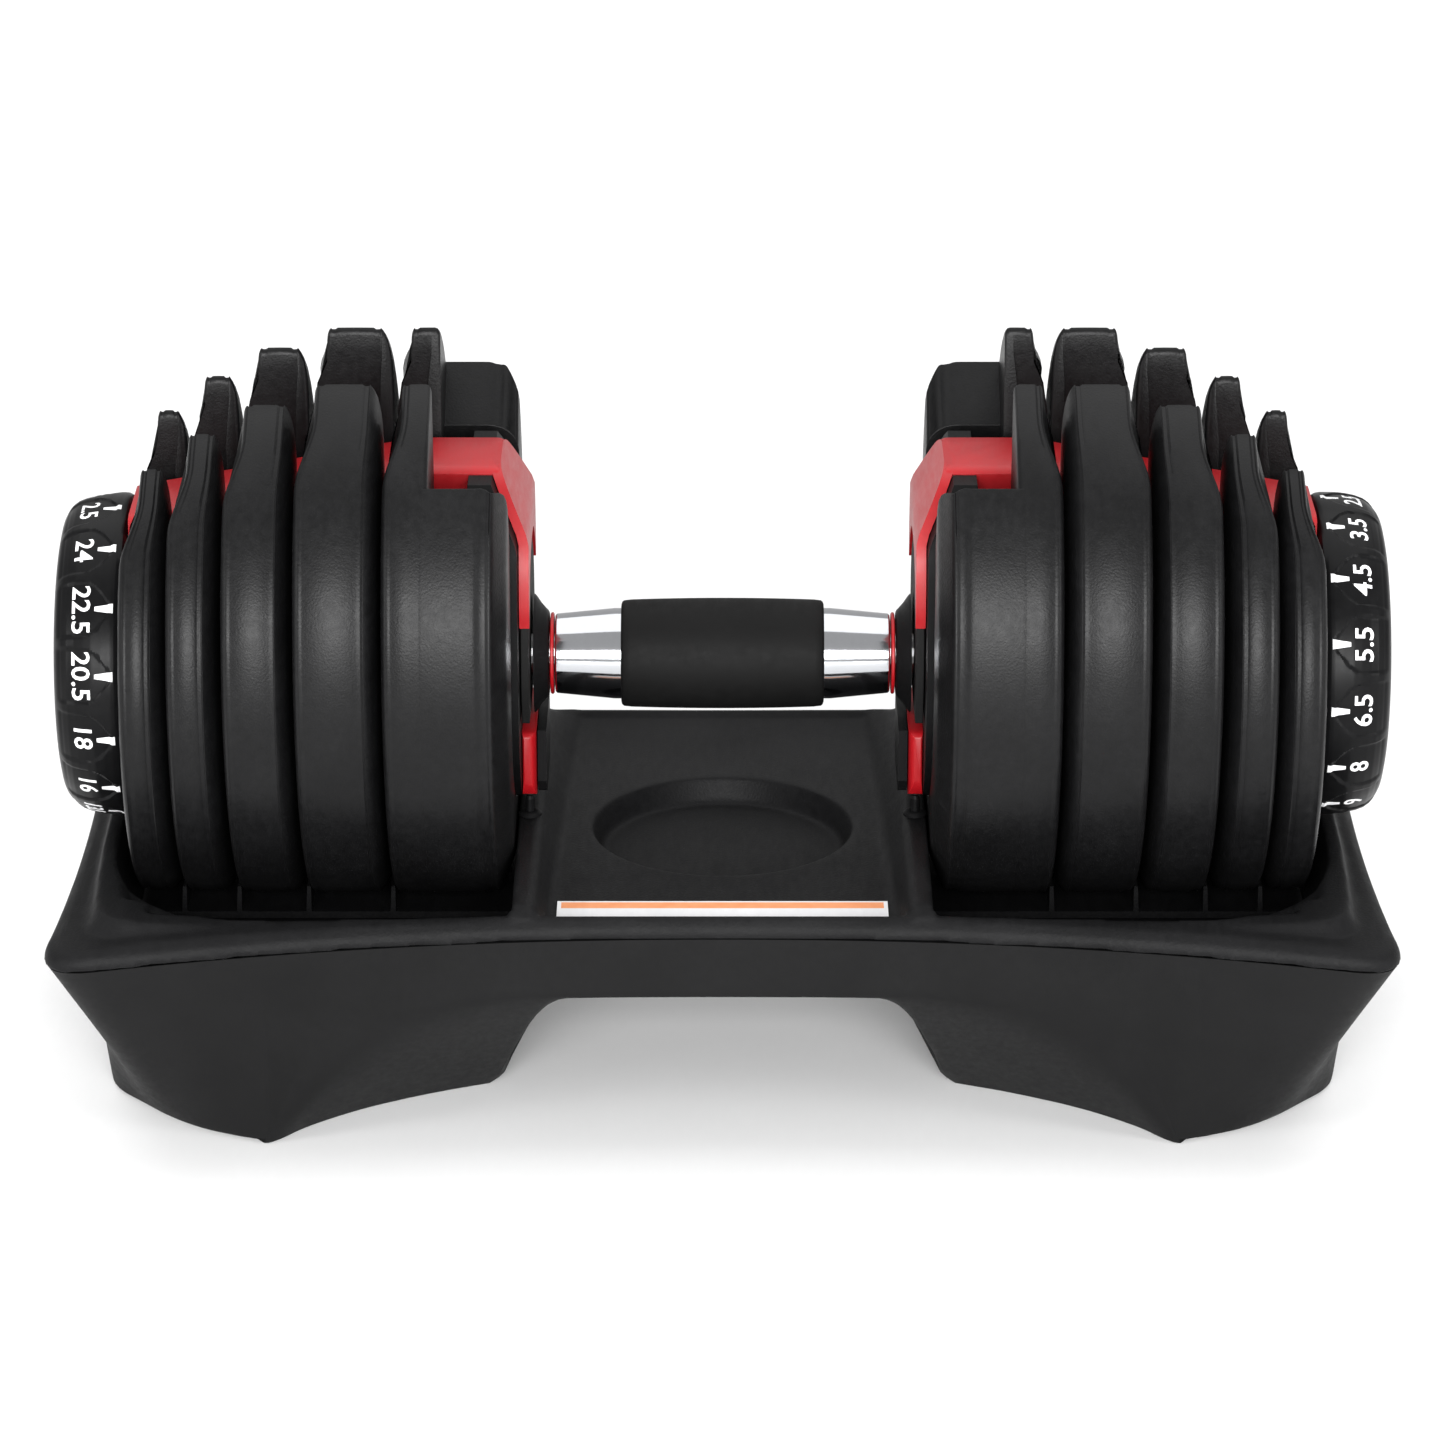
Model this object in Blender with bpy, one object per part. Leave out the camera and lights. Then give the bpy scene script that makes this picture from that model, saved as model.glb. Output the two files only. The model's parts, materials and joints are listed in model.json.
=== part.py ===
"""Adjustable dumbbell in its cradle, in metres, +Z up, origin on the floor under the middle of the handle.

X runs along the handle and Y across it. Every bell part is written for the +X side and built twice, with
side = +1 and side = -1. Heights named ..._H are measured from the handle's axis.
"""

import bmesh
import bpy
from math import asin, atan2, cos, pi, radians, sin, sqrt, tau
from mathutils import Vector

MM = 0.001
GAP = 0.3 * MM
AXIS_Z = 130 * MM
SIDES = {"left": -1, "right": 1}

# Weight settings, in the order of the dial, and what each side's plates add
SETTINGS_LB = [5, 7.5, 10, 12.5, 15, 17.5, 20, 22.5, 25, 30, 35, 40, 45, 50, 52.5]
PLATE_LB = [7.5, 7.5, 5, 2.5, 1.25]
HANDLE_LB = 5
DETENTS = len(SETTINGS_LB)

# Plates: span along X, radius, and the stepped slot that the handle lifts out of
PLATE_SPANS = [(86 * MM, 99.4 * MM), (100.5 * MM, 125.1 * MM), (126.5 * MM, 146.3 * MM), (148 * MM, 163 * MM),
               (164 * MM, 177.7 * MM)]
PLATE_RADII = [86 * MM, 86 * MM, 82.9 * MM, 78.5 * MM, 73.2 * MM]
PLATE_CHAMFERS = [0, 4 * MM, 3.6 * MM, 3.6 * MM, 4 * MM]
PLATE_FOOT_H = -72 * MM
CHAMFER_RISE = 13 * MM
OUTER_EDGE = 1.5 * MM
TIP_TAPER = 4.6 * MM
TIP_RISE = 20 * MM
WEB = 4 * MM
WEB_SLOT_R = 17.2 * MM
SLOT_R = 27 * MM
COLLAR_X = (63 * MM, 86.6 * MM)
COLLAR_SLOT_R = 44 * MM
COLLAR_TOP_H = 74 * MM
COLLAR_SLOPE = 15 * MM

# Selector discs and the plate tabs that they pick up
TAB_R = (17.5 * MM, 19.4 * MM)
TAB_HEIGHT = 2.4 * MM
TAB_HALF_ANGLE = radians(9)
FLANGE_R = (20.8 * MM, 23.4 * MM)
DISC_BORE_R = 9.8 * MM
DISC_GAP = 0.5 * MM
FLANGE_HEIGHT = 2.5 * MM
DISC_THICKNESS = 3 * MM

# Handle and its core
SHAFT_R = 6 * MM
SHAFT_HALF = 194.5 * MM
BORE_R = 6.4 * MM
TUBE_HALF = 51 * MM
GRIP_HALF = 30.9 * MM
GRIP_R = 16.2 * MM
HUB_X = (52.9 * MM, 57.4 * MM)
DRIVE_TUBE_X = (77 * MM, 189 * MM)
DRIVE_TUBE_R = 9.5 * MM

# Red bell frame, its black insert and the black housing behind it
FRAME_FOOT_X = 57.8 * MM
FRAME_TOP_X = 66.6 * MM
FRAME_LEAN_H = (46 * MM, 65 * MM)
FRAME_THICKNESS = 3 * MM
BRIDGE_HALF_Y = 16.2 * MM
BRIDGE_DEPTH = 11 * MM
BRIDGE_END_X = 178.6 * MM
HOUSING_X = 76 * MM

# Lock: a sprung pin on each side, over a post on the cradle
LOCK_X = 58.9 * MM
LOCK_Y = -16 * MM
LOCK_FOOT_Z = 90 * MM
LOCK_PIN_TOP_Z = 101 * MM
LOCK_BORE_TOP_Z = 109 * MM
LOCK_TOP_Z = 111.5 * MM
LOCK_PIN_R = 1.5 * MM
SPRING_WIRE_R = 0.22 * MM
SPRING_TURNS = 5

# Dial
DIAL_X = (179 * MM, 200 * MM)
DIAL_R = 49.3 * MM

# Cradle
END_X = 196.5 * MM
CORNER_X = 201 * MM
FRONT_Y = 88.5 * MM
CORNER_Y = 107 * MM
SEAM_Z = 72.6 * MM
SEAM_DROP = 4.6 * MM
RIM_TOP_Z = 79 * MM
DECK_Z = 73.3 * MM
LEDGE_Z = 83 * MM
WELL_FLOOR_Z = 55.2 * MM
RACK_TOP_Z = 57.7 * MM
RACK_FIN_TOP_Z = 66 * MM
SHELL = 3 * MM
WELL_WALL = 1.8 * MM
RECESS_R = 40.3 * MM
RECESS_FLOOR_R = 37 * MM
RECESS_DEPTH = 8 * MM
ARCH_Z = 52.6 * MM
ARCH_HALF = 40 * MM
FOOT_AT = (148 * MM, 55 * MM)


def material(name, colour, roughness, metallic=0.0):
    made = bpy.data.materials.new(name)
    made.use_nodes = True
    shader = made.node_tree.nodes["Principled BSDF"]
    shader.inputs["Base Color"].default_value = (*colour, 1.0)
    shader.inputs["Roughness"].default_value = roughness
    shader.inputs["Metallic"].default_value = metallic
    return made


def empty(name, place, parent=None):
    made = bpy.data.objects.new(name, None)
    bpy.context.scene.collection.objects.link(made)
    made.location = Vector(place) - (Vector(parent.location) if parent else Vector())
    made.parent = parent
    return made


def solid(name, body, finish=None, parent=None):
    """One object from a closed (points, faces) body in world coordinates."""
    mesh = bpy.data.meshes.new(name)
    work = bmesh.new()
    corners = [work.verts.new(point) for point in body[0]]
    for face in body[1]:
        work.faces.new([corners[i] for i in face])
    bmesh.ops.recalc_face_normals(work, faces=work.faces)
    work.to_mesh(mesh)
    work.free()
    mesh.shade_smooth()
    mesh.set_sharp_from_angle(angle=radians(32))
    made = bpy.data.objects.new(name, mesh)
    bpy.context.scene.collection.objects.link(made)
    if finish:
        mesh.materials.append(finish)
    if parent:
        made.parent = parent
        made.matrix_parent_inverse = parent.matrix_world.inverted()
    return made


def combine(target, name, body, operation):
    """Cuts body from target, joins it on, or keeps only what the two share."""
    tool = solid(name, body)
    tool.hide_render = True
    tool.display_type = "WIRE"
    change = target.modifiers.new(name, "BOOLEAN")
    change.operation = operation
    change.solver = "EXACT"
    change.object = tool


def loft(rings, closed=False):
    """Skin over rings of equal length; the ends are capped unless the rings close on themselves."""
    count = len(rings[0])
    points = [point for ring in rings for point in ring]
    spans = len(rings) if closed else len(rings) - 1
    faces = []
    for i in range(spans):
        a = i * count
        b = (i + 1) % len(rings) * count
        for j in range(count):
            k = (j + 1) % count
            faces.append((a + j, a + k, b + k, b + j))
    if not closed:
        faces.append(tuple(range(count)))
        faces.append(tuple(range(len(points) - count, len(points))))
    return points, faces


def turned(side, profile, segments=24, centre=(0.0, AXIS_Z)):
    """Closed profile of (x, radius) points, none on the axis, turned about a line along X."""
    rings = []
    for i in range(segments):
        angle = tau * (i + 0.5) / segments
        rings.append([(side * x, centre[0] + r * sin(angle), centre[1] + r * cos(angle)) for x, r in profile])
    return loft(rings, closed=True)


def rod(side, x0, x1, radius, segments=16, centre=(0.0, AXIS_Z)):
    rings = []
    for x in (x0, x1):
        ring = []
        for i in range(segments):
            angle = tau * (i + 0.5) / segments
            ring.append((side * x, centre[0] + radius * sin(angle), centre[1] + radius * cos(angle)))
        rings.append(ring)
    return loft(rings)


def post(x, y, levels, segments=12):
    """Upright solid through (z, radius) levels."""
    rings = []
    for z, radius in levels:
        rings.append([(x + radius * cos(tau * i / segments), y + radius * sin(tau * i / segments), z)
                      for i in range(segments)])
    return loft(rings)


def block(low, high):
    (x0, y0, z0), (x1, y1, z1) = low, high
    rings = [[(x0, y0, z), (x1, y0, z), (x1, y1, z), (x0, y1, z)] for z in (z0, z1)]
    return loft(rings)


def side_block(side, low, high):
    (x0, y0, z0), (x1, y1, z1) = low, high
    return block((min(side * x0, side * x1), y0, z0), (max(side * x0, side * x1), y1, z1))


# ---------------------------------------------------------------- plates

def slot_points(radius, count=12):
    """Half circle under the axis, from +Y to -Y, as (y, h)."""
    return [(radius * cos(pi * i / count), -radius * sin(pi * i / count)) for i in range(count + 1)]


def plate_ring(side, x, radius, inset, slot_r, cut_h=None, span=None, count=32):
    """Outline of a slotted round plate at x.

    The rim ends at the slot's mouth, or at cut_h in a slope to the slot. With a span of (x near, x far) the plate
    thins towards the tips of its horns.
    """
    centre = PLATE_FOOT_H + radius
    reach = radius - inset
    if cut_h is None:
        start = asin(SLOT_R / reach)
        tip = centre + reach * cos(start)
        knee = (slot_r + (SLOT_R - slot_r) * (tip - TIP_RISE) / tip, tip - TIP_RISE)
        ring = [knee] + slot_points(slot_r) + [(-knee[0], knee[1])]
    else:
        start = atan2(sqrt(reach ** 2 - (cut_h - centre) ** 2), cut_h - centre)
        tip = cut_h
        inner_h = cut_h - COLLAR_SLOPE
        ring = [(slot_r, inner_h)] + slot_points(slot_r) + [(-slot_r, inner_h)]
    for i in range(count + 1):
        angle = -start - (tau - 2 * start) * i / count
        ring.append((reach * sin(angle), centre + reach * cos(angle)))
    points = []
    for y, h in ring:
        across = x
        if span:
            share = min(max((h - tip + TIP_RISE) / TIP_RISE, 0.0), 1.0)
            across = span[0] + (x - span[0]) * (1 - TIP_TAPER * share / (span[1] - span[0]))
        points.append((side * across, y, AXIS_Z + h))
    return points


def plate_body(side, index):
    span = PLATE_SPANS[index]
    x0, x1 = span
    radius = PLATE_RADII[index]
    chamfer = PLATE_CHAMFERS[index]
    web_end = x0 + WEB
    steps = [(x0, 0.4 * MM, WEB_SLOT_R)]
    if index > 0:
        steps = [(x0, CHAMFER_RISE, WEB_SLOT_R), (x0 + chamfer, 0, WEB_SLOT_R)]
    steps += [(web_end + 0.05 * MM, 0, WEB_SLOT_R), (web_end + 0.05 * MM, 0, SLOT_R), (x1 - OUTER_EDGE, 0, SLOT_R),
              (x1, 2 * OUTER_EDGE, SLOT_R)]
    return loft([plate_ring(side, x, radius, inset, slot_r, span=span) for x, inset, slot_r in steps])


def plate_tab(side, index):
    """Arc that stands on the web under the axis, where the selector disc's flange passes below it."""
    x0 = PLATE_SPANS[index][0] + WEB - 0.5 * MM
    x1 = PLATE_SPANS[index][0] + WEB + TAB_HEIGHT
    rings = []
    for x in (x0, x1):
        outer = []
        inner = []
        for i in range(5):
            angle = pi + TAB_HALF_ANGLE * (i / 2 - 1)
            outer.append((side * x, TAB_R[1] * sin(angle), AXIS_Z + TAB_R[1] * cos(angle)))
            inner.append((side * x, TAB_R[0] * sin(angle), AXIS_Z + TAB_R[0] * cos(angle)))
        rings.append(outer + inner[::-1])
    return loft(rings)


def collar_body(side):
    """The thick inner rim of the first plate, open round the bell's housing."""
    radius = PLATE_RADII[0]
    x0, x1 = COLLAR_X
    levels = [(x0, 13 * MM, -11.5 * MM), (x0 + 3.6 * MM, 2 * MM, -6.2 * MM), (x0 + 4.6 * MM, 0.4 * MM, -4.1 * MM),
              (x0 + 8 * MM, 0.0, -1 * MM), (x0 + 11.5 * MM, 0.0, 0.0), (x1 - 1.2 * MM, 0.0, 0.0),
              (x1, 1.2 * MM, -0.6 * MM)]
    return loft([plate_ring(side, x, radius, inset, COLLAR_SLOT_R, COLLAR_TOP_H + drop)
                 for x, inset, drop in levels])


def make_plates(finish, parents):
    for word, side in SIDES.items():
        for index in range(len(PLATE_LB)):
            name = f"plate_{index + 1}_{word}"
            plate = solid(name, plate_body(side, index), finish, parents[index])
            combine(plate, f"tab_tool_{index + 1}_{word}", plate_tab(side, index), "UNION")
            if index == 0:
                combine(plate, f"collar_tool_{word}", collar_body(side), "UNION")


# ---------------------------------------------------------------- selector

def engaged_plates(setting_lb):
    """Which plates a setting lifts, taking the heaviest that still fit."""
    left_over = (setting_lb - HANDLE_LB) / 2
    lifted = []
    for index, weight in enumerate(PLATE_LB):
        if weight <= left_over:
            lifted.append(index)
            left_over -= weight
    return lifted


def disc_body(side, index):
    """Round disc with a flange at each setting that lifts this plate; all gaps are down at rest."""
    front = PLATE_SPANS[index][0] + WEB + DISC_GAP
    face = front + FLANGE_HEIGHT
    back = face + DISC_THICKNESS
    raised = [index in engaged_plates(setting) for setting in SETTINGS_LB]
    points = []
    numbers = {}
    faces = []

    def corner(x, radius, step):
        key = (x, radius, step % DETENTS)
        if key not in numbers:
            angle = pi + side * tau * (key[2] - 0.5) / DETENTS
            numbers[key] = len(points)
            points.append((side * x, radius * sin(angle), AXIS_Z + radius * cos(angle)))
        return numbers[key]

    def quad(*corners):
        faces.append([corner(*place) for place in corners])

    bore, inner, outer = DISC_BORE_R, FLANGE_R[0], FLANGE_R[1]
    for step in range(DETENTS):
        after = step + 1
        top = front if raised[step] else face
        quad((back, bore, step), (back, inner, step), (back, inner, after), (back, bore, after))
        quad((back, inner, step), (back, outer, step), (back, outer, after), (back, inner, after))
        quad((face, bore, step), (face, inner, step), (face, inner, after), (face, bore, after))
        quad((top, inner, step), (top, outer, step), (top, outer, after), (top, inner, after))
        quad((back, bore, step), (face, bore, step), (face, bore, after), (back, bore, after))
        quad((back, outer, step), (face, outer, step), (face, outer, after), (back, outer, after))
        if raised[step]:
            quad((face, inner, step), (front, inner, step), (front, inner, after), (face, inner, after))
            quad((face, outer, step), (front, outer, step), (front, outer, after), (face, outer, after))
        if raised[step] != raised[after % DETENTS]:
            quad((face, inner, after), (face, outer, after), (front, outer, after), (front, inner, after))
    return points, faces


def dial_profile():
    x0, x1 = DIAL_X
    outer = [(x0, DIAL_R - 3.2 * MM), (x0 + 0.8 * MM, DIAL_R - 1.1 * MM), (x0 + 2.6 * MM, DIAL_R),
             (x0 + 8 * MM, DIAL_R), (x0 + 14 * MM, DIAL_R - 1.1 * MM), (x0 + 18.2 * MM, DIAL_R - 3.4 * MM),
             (x0 + 20.3 * MM, DIAL_R - 6.4 * MM), (x1, DIAL_R - 9 * MM)]
    face = [(x1 - 2.2 * MM, DIAL_R - 12 * MM), (x1 - 3 * MM, 12.2 * MM), (x1 - 6.4 * MM, 12.2 * MM),
            (x1 - 6.4 * MM, DISC_BORE_R)]
    cup = [(x0 + 2 * MM, DISC_BORE_R), (x0 + 2 * MM, 14 * MM), (x1 - 6.8 * MM, 14.6 * MM),
           (x1 - 6.8 * MM, DIAL_R - 9.5 * MM), (x0, DIAL_R - 5 * MM)]
    return outer + face + cup


def make_selectors(looks, parents):
    x1 = DIAL_X[1]
    cap = [(x1 - 6 * MM, 8.2 * MM), (x1 - 6 * MM, 11.8 * MM), (x1 - 2.6 * MM, 11.8 * MM), (x1 - 1.6 * MM, 10.6 * MM),
           (x1 - 1 * MM, 6 * MM), (x1 - 1 * MM, 0.6 * MM), (x1 - 3.2 * MM, 0.6 * MM), (x1 - 3.2 * MM, 8.2 * MM)]
    tube = [(DRIVE_TUBE_X[0], BORE_R), (DRIVE_TUBE_X[1], BORE_R), (DRIVE_TUBE_X[1], DRIVE_TUBE_R),
            (DRIVE_TUBE_X[0], DRIVE_TUBE_R)]
    for word, side in SIDES.items():
        parent = parents[word]
        solid(f"dial_{word}", turned(side, dial_profile(), 30), looks["dial"], parent)
        solid(f"dial_cap_{word}", turned(side, cap, 20), looks["dial"], parent)
        solid(f"drive_tube_{word}", turned(side, tube, 20), looks["steel"], parent)
        for index in range(len(PLATE_LB)):
            solid(f"selector_disc_{index + 1}_{word}", disc_body(side, index), looks["nylon"], parent)


# ---------------------------------------------------------------- handle

def frame_x(h):
    """Face of the leaning bell frame at height h above the axis."""
    low, high = FRAME_LEAN_H
    share = min(max((h - low) / (high - low), 0.0), 1.0)
    return FRAME_FOOT_X + (FRAME_TOP_X - FRAME_FOOT_X) * share


def arch_band(side):
    """Outline of the red band round the top of the bell's inner end, from one pointed foot over to the other."""
    outer = [(33.0, 20.0), (34.0, 27.0), (32.0, 40.0), (26.0, 52.0), (19.0, 61.5), (12.0, 64.6)]
    inner = [(32.2, 20.4), (28.5, 25.0), (24.0, 30.0), (18.0, 34.5), (11.0, 37.2), (6.0, 38.0)]
    outline = outer + [(-y, h) for y, h in outer[::-1]] + [(-y, h) for y, h in inner] + inner[::-1]
    return loft([[(side * x, y * MM, AXIS_Z + h * MM) for y, h in outline] for x in (50 * MM, 80 * MM)])


def leaning_slab(side):
    """Plate with the lean of the bell's inner end, which the band is cut from."""
    levels = [10 * MM, *FRAME_LEAN_H, 75 * MM]
    return standing_plate(side, [(h, 60 * MM, frame_x(h), frame_x(h) + FRAME_THICKNESS) for h in levels])


def bridge_body(side):
    """Red beam over the discs, level at first and then sloping down to the outer flange."""
    stations = [(66.4, 64.0, 2.0), (69.0, 65.0, 3.0), (92.0, 65.0, 3.0), (176.8, 50.0, 3.0), (178.6, 49.4, 3.0)]
    rings = []
    half = BRIDGE_HALF_Y
    for x, top, chamfer in stations:
        top_z = AXIS_Z + top * MM
        bottom_z = top_z - BRIDGE_DEPTH
        shoulder_z = top_z - 1.6 * MM
        inner = half - chamfer * MM
        rings.append([(side * x * MM, y, z) for y, z in ((-half, bottom_z), (half, bottom_z), (half, shoulder_z),
                                                         (inner, top_z), (-inner, top_z), (-half, shoulder_z))])
    return loft(rings)


def flange_plate(side):
    """Outer end of the bell frame, which carries the drive tube."""
    outline = [(BRIDGE_HALF_Y, 42 * MM)]
    for i in range(9):
        angle = pi * i / 8
        outline.append((BRIDGE_HALF_Y * cos(angle), -BRIDGE_HALF_Y * sin(angle)))
    outline.append((-BRIDGE_HALF_Y, 42 * MM))
    return loft([[(side * x, y, AXIS_Z + h) for y, h in outline] for x in (176.6 * MM, BRIDGE_END_X)])


def standing_plate(side, levels):
    """Upright plate through (h, half width, x near, x far) levels."""
    rings = []
    for h, half, near, far in levels:
        rings.append([(side * near, -half, AXIS_Z + h), (side * near, half, AXIS_Z + h),
                      (side * far, half, AXIS_Z + h), (side * far, -half, AXIS_Z + h)])
    return loft(rings)


def insert_levels():
    shape = [(-13.5, 25), (0, 29), (14, 29), (22, 26.5), (28, 21), (33, 13)]
    return [(h * MM, half * MM, frame_x(h * MM) + 0.5 * MM, frame_x(h * MM) + FRAME_THICKNESS - 0.1 * MM)
            for h, half in shape]


def housing_levels():
    shape = [(-42, 12), (-38, 20), (-30, 30), (-18, 38), (-4, 41.5), (20, 41.5), (38, 40), (46, 38), (52, 35), (60, 29),
             (63, 26)]
    return [(h * MM, half * MM, frame_x(h * MM) + FRAME_THICKNESS + GAP, HOUSING_X) for h, half in shape]


def tab_shape(side, x0, x1, half, top_z, bottom_z):
    """Upright tab with a rounded foot."""
    outline = [(-half, top_z), (half, top_z), (half, bottom_z + 5 * MM), (half - 1.6 * MM, bottom_z + 1.6 * MM),
               (half - 5 * MM, bottom_z), (-half + 5 * MM, bottom_z), (-half + 1.6 * MM, bottom_z + 1.6 * MM),
               (-half, bottom_z + 5 * MM)]
    return loft([[(side * x, y, z) for y, z in outline] for x in (x0, x1)])


def coil(x, y, z0, z1, radius):
    """Closed helical wire of square section."""
    steps = SPRING_TURNS * 8
    rings = []
    for i in range(steps + 1):
        angle = tau * SPRING_TURNS * i / steps
        z = z0 + SPRING_WIRE_R + (z1 - z0 - 2 * SPRING_WIRE_R) * i / steps
        ring = []
        for out, up in ((1, 0), (0, 1), (-1, 0), (0, -1)):
            reach = radius + out * SPRING_WIRE_R
            ring.append((x + reach * cos(angle), y + reach * sin(angle), z + up * SPRING_WIRE_R))
        rings.append(ring)
    return loft(rings)


def make_handle(looks, parent, lock_parents):
    tube = [(-TUBE_HALF, BORE_R), (-TUBE_HALF, 12.2 * MM), (-GRIP_HALF - 2 * MM, 13.9 * MM),
            (GRIP_HALF + 2 * MM, 13.9 * MM), (TUBE_HALF, 12.2 * MM), (TUBE_HALF, BORE_R)]
    grip = [(-GRIP_HALF, 14.2 * MM), (-GRIP_HALF, GRIP_R - 0.9 * MM), (-GRIP_HALF + 0.9 * MM, GRIP_R),
            (-GRIP_HALF / 2, GRIP_R + 0.5 * MM), (0, GRIP_R + 0.7 * MM), (GRIP_HALF / 2, GRIP_R + 0.5 * MM),
            (GRIP_HALF - 0.9 * MM, GRIP_R), (GRIP_HALF, GRIP_R - 0.9 * MM), (GRIP_HALF, 14.2 * MM)]
    solid("handle_tube", turned(1, tube, 24), looks["chrome"], parent)
    solid("handle_grip", turned(1, grip, 24), looks["rubber"], parent)
    solid("core_shaft", rod(1, -SHAFT_HALF, SHAFT_HALF, SHAFT_R, 16), looks["steel"], parent)
    nut = [(189.6 * MM, 7.2 * MM), (192.8 * MM, 7.2 * MM), (192.8 * MM, 9.2 * MM), (189.6 * MM, 9.2 * MM)]
    ring = [(51.4 * MM, BORE_R), (51.4 * MM, 12.5 * MM), (52.5 * MM, 12.5 * MM), (52.5 * MM, BORE_R)]
    cone = [(HUB_X[0], BORE_R), (HUB_X[0], 13 * MM), (HUB_X[0] + 1 * MM, 13.9 * MM), (HUB_X[1] - 0.6 * MM, 18 * MM),
            (HUB_X[1], 18.2 * MM), (HUB_X[1], BORE_R)]
    shaft_hole = rod(1, -HOUSING_X - 4 * MM, HOUSING_X + 4 * MM, BORE_R, 16)
    for word, side in SIDES.items():
        solid(f"shaft_nut_{word}", turned(side, nut, 6), looks["steel"], parent)
        solid(f"hub_ring_{word}", turned(side, ring, 20), looks["red"], parent)
        solid(f"hub_cone_{word}", turned(side, cone, 24), looks["nylon"], parent)
        frame = solid(f"bell_frame_{word}", arch_band(side), looks["red"], parent)
        combine(frame, f"lean_tool_{word}", leaning_slab(side), "INTERSECT")
        combine(frame, f"bridge_tool_{word}", bridge_body(side), "UNION")
        combine(frame, f"flange_tool_{word}", flange_plate(side), "UNION")
        hole = rod(side, 170 * MM, 185 * MM, DRIVE_TUBE_R + 0.4 * MM, 20)
        combine(frame, f"flange_hole_{word}", hole, "DIFFERENCE")
        insert = solid(f"end_insert_{word}", standing_plate(side, insert_levels()), looks["textured"], parent)
        combine(insert, f"insert_hole_{word}", shaft_hole, "DIFFERENCE")
        housing = solid(f"bell_housing_{word}", standing_plate(side, housing_levels()), looks["nylon"], parent)
        combine(housing, f"housing_hole_{word}", shaft_hole, "DIFFERENCE")
        notch = side_block(side, (50 * MM, -16.7 * MM, AXIS_Z + 53 * MM), (90 * MM, 16.7 * MM, AXIS_Z + 90 * MM))
        combine(housing, f"housing_notch_{word}", notch, "DIFFERENCE")
        lock = solid(f"lock_housing_{word}", tab_shape(side, 56.6 * MM, 61 * MM, 21 * MM, LOCK_TOP_Z, LOCK_FOOT_Z),
                     looks["red"], parent)
        bore = post(side * LOCK_X, LOCK_Y, [(LOCK_FOOT_Z - 5 * MM, 1.85 * MM), (LOCK_BORE_TOP_Z, 1.85 * MM)])
        combine(lock, f"lock_bore_{word}", bore, "DIFFERENCE")
        solid(f"lock_cover_{word}", tab_shape(side, 53.6 * MM, 56.3 * MM, 18 * MM, LOCK_TOP_Z, LOCK_FOOT_Z),
              looks["nylon"], parent)
        pin = post(side * LOCK_X, LOCK_Y, [(LOCK_FOOT_Z, 1.1 * MM), (LOCK_FOOT_Z + 0.8 * MM, LOCK_PIN_R),
                                          (LOCK_PIN_TOP_Z, LOCK_PIN_R)], 10)
        solid(f"lock_pin_{word}", pin, looks["steel"], lock_parents[word])
        spring = coil(side * LOCK_X, LOCK_Y, LOCK_PIN_TOP_Z + GAP, LOCK_BORE_TOP_Z - GAP, 1.25 * MM)
        solid(f"lock_spring_{word}", spring, looks["steel"], parent)


# ---------------------------------------------------------------- cradle

def cradle_outline(inset=0.0):
    """Plan of the cradle, waisted along the front and slightly bowed at the ends, as (x, y) all round."""
    quarter = []
    for share in (0, 0.12, 0.22, 0.245, 0.27, 0.295, 0.32, 0.4, 0.5, 0.58, 0.65, 0.69, 0.72, 0.75, 0.87, 1):
        x = 0.91 * CORNER_X * share
        quarter.append((x, FRONT_Y + (CORNER_Y - FRONT_Y) * (x / CORNER_X) ** 2.2 - inset))
    start = Vector(quarter[-1])
    end = Vector((END_X + (CORNER_X - END_X) * 0.7 - inset, 0.8 * CORNER_Y))
    corner = Vector((CORNER_X + 1.5 * MM - inset, CORNER_Y + 0.5 * MM - inset))
    for i in range(1, 6):
        t = i / 6
        quarter.append(tuple(start * (1 - t) ** 2 + corner * 2 * t * (1 - t) + end * t ** 2))
    for i in range(4):
        y = 0.8 * CORNER_Y * (1 - i / 3)
        quarter.append((END_X + (end.x + inset - END_X) * (y / end.y) ** 2 - inset, y))
    right_rear = quarter
    right_front = [(x, -y) for x, y in right_rear[-2::-1]]
    left_front = [(-x, y) for x, y in right_front[-2::-1]]
    left_rear = [(-x, y) for x, y in right_rear[-2:0:-1]]
    return right_rear + right_front + left_front + left_rear


def seam_z(x):
    return SEAM_Z - SEAM_DROP * (x / CORNER_X) ** 2


def well_outline(side, wall=0.0, draw=0.0):
    """Plan of the pocket that a bell's plates stand in; draw, from 0 to 1, is how far down the tapered sides."""
    half = [(184, 22), (183, 42), (180, 57), (174.5, 67), (168, 75), (158, 83), (146, 87), (100, 86.6), (62.3, 84.4)]
    points = []
    for x, y in half:
        outer = x > 100
        edge_x = x * MM - (5 * MM * draw if outer else 0.0) + (wall if outer else -wall if x < 100 else 0.0)
        points.append((side * edge_x, y * MM * (1 - 0.18 * draw) + wall))
    return points + [(x, -y) for x, y in points[::-1]]


def well_edge(x, y):
    """Where the rim meets the wells or the deck, for the outline point (x, y)."""
    across = min(abs(x) / CORNER_X, 1.0)
    along = min(abs(y) / CORNER_Y, 1.0)
    bend = max(0.0, across - 0.72) / 0.28
    edge_x = min(abs(x), 183 * MM - 14 * MM * along ** 2)
    edge_y = min(abs(y), 84 * MM - 12 * MM * bend ** 2)
    return (edge_x if x > 0 else -edge_x), (edge_y if y > 0 else -edge_y)


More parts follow.
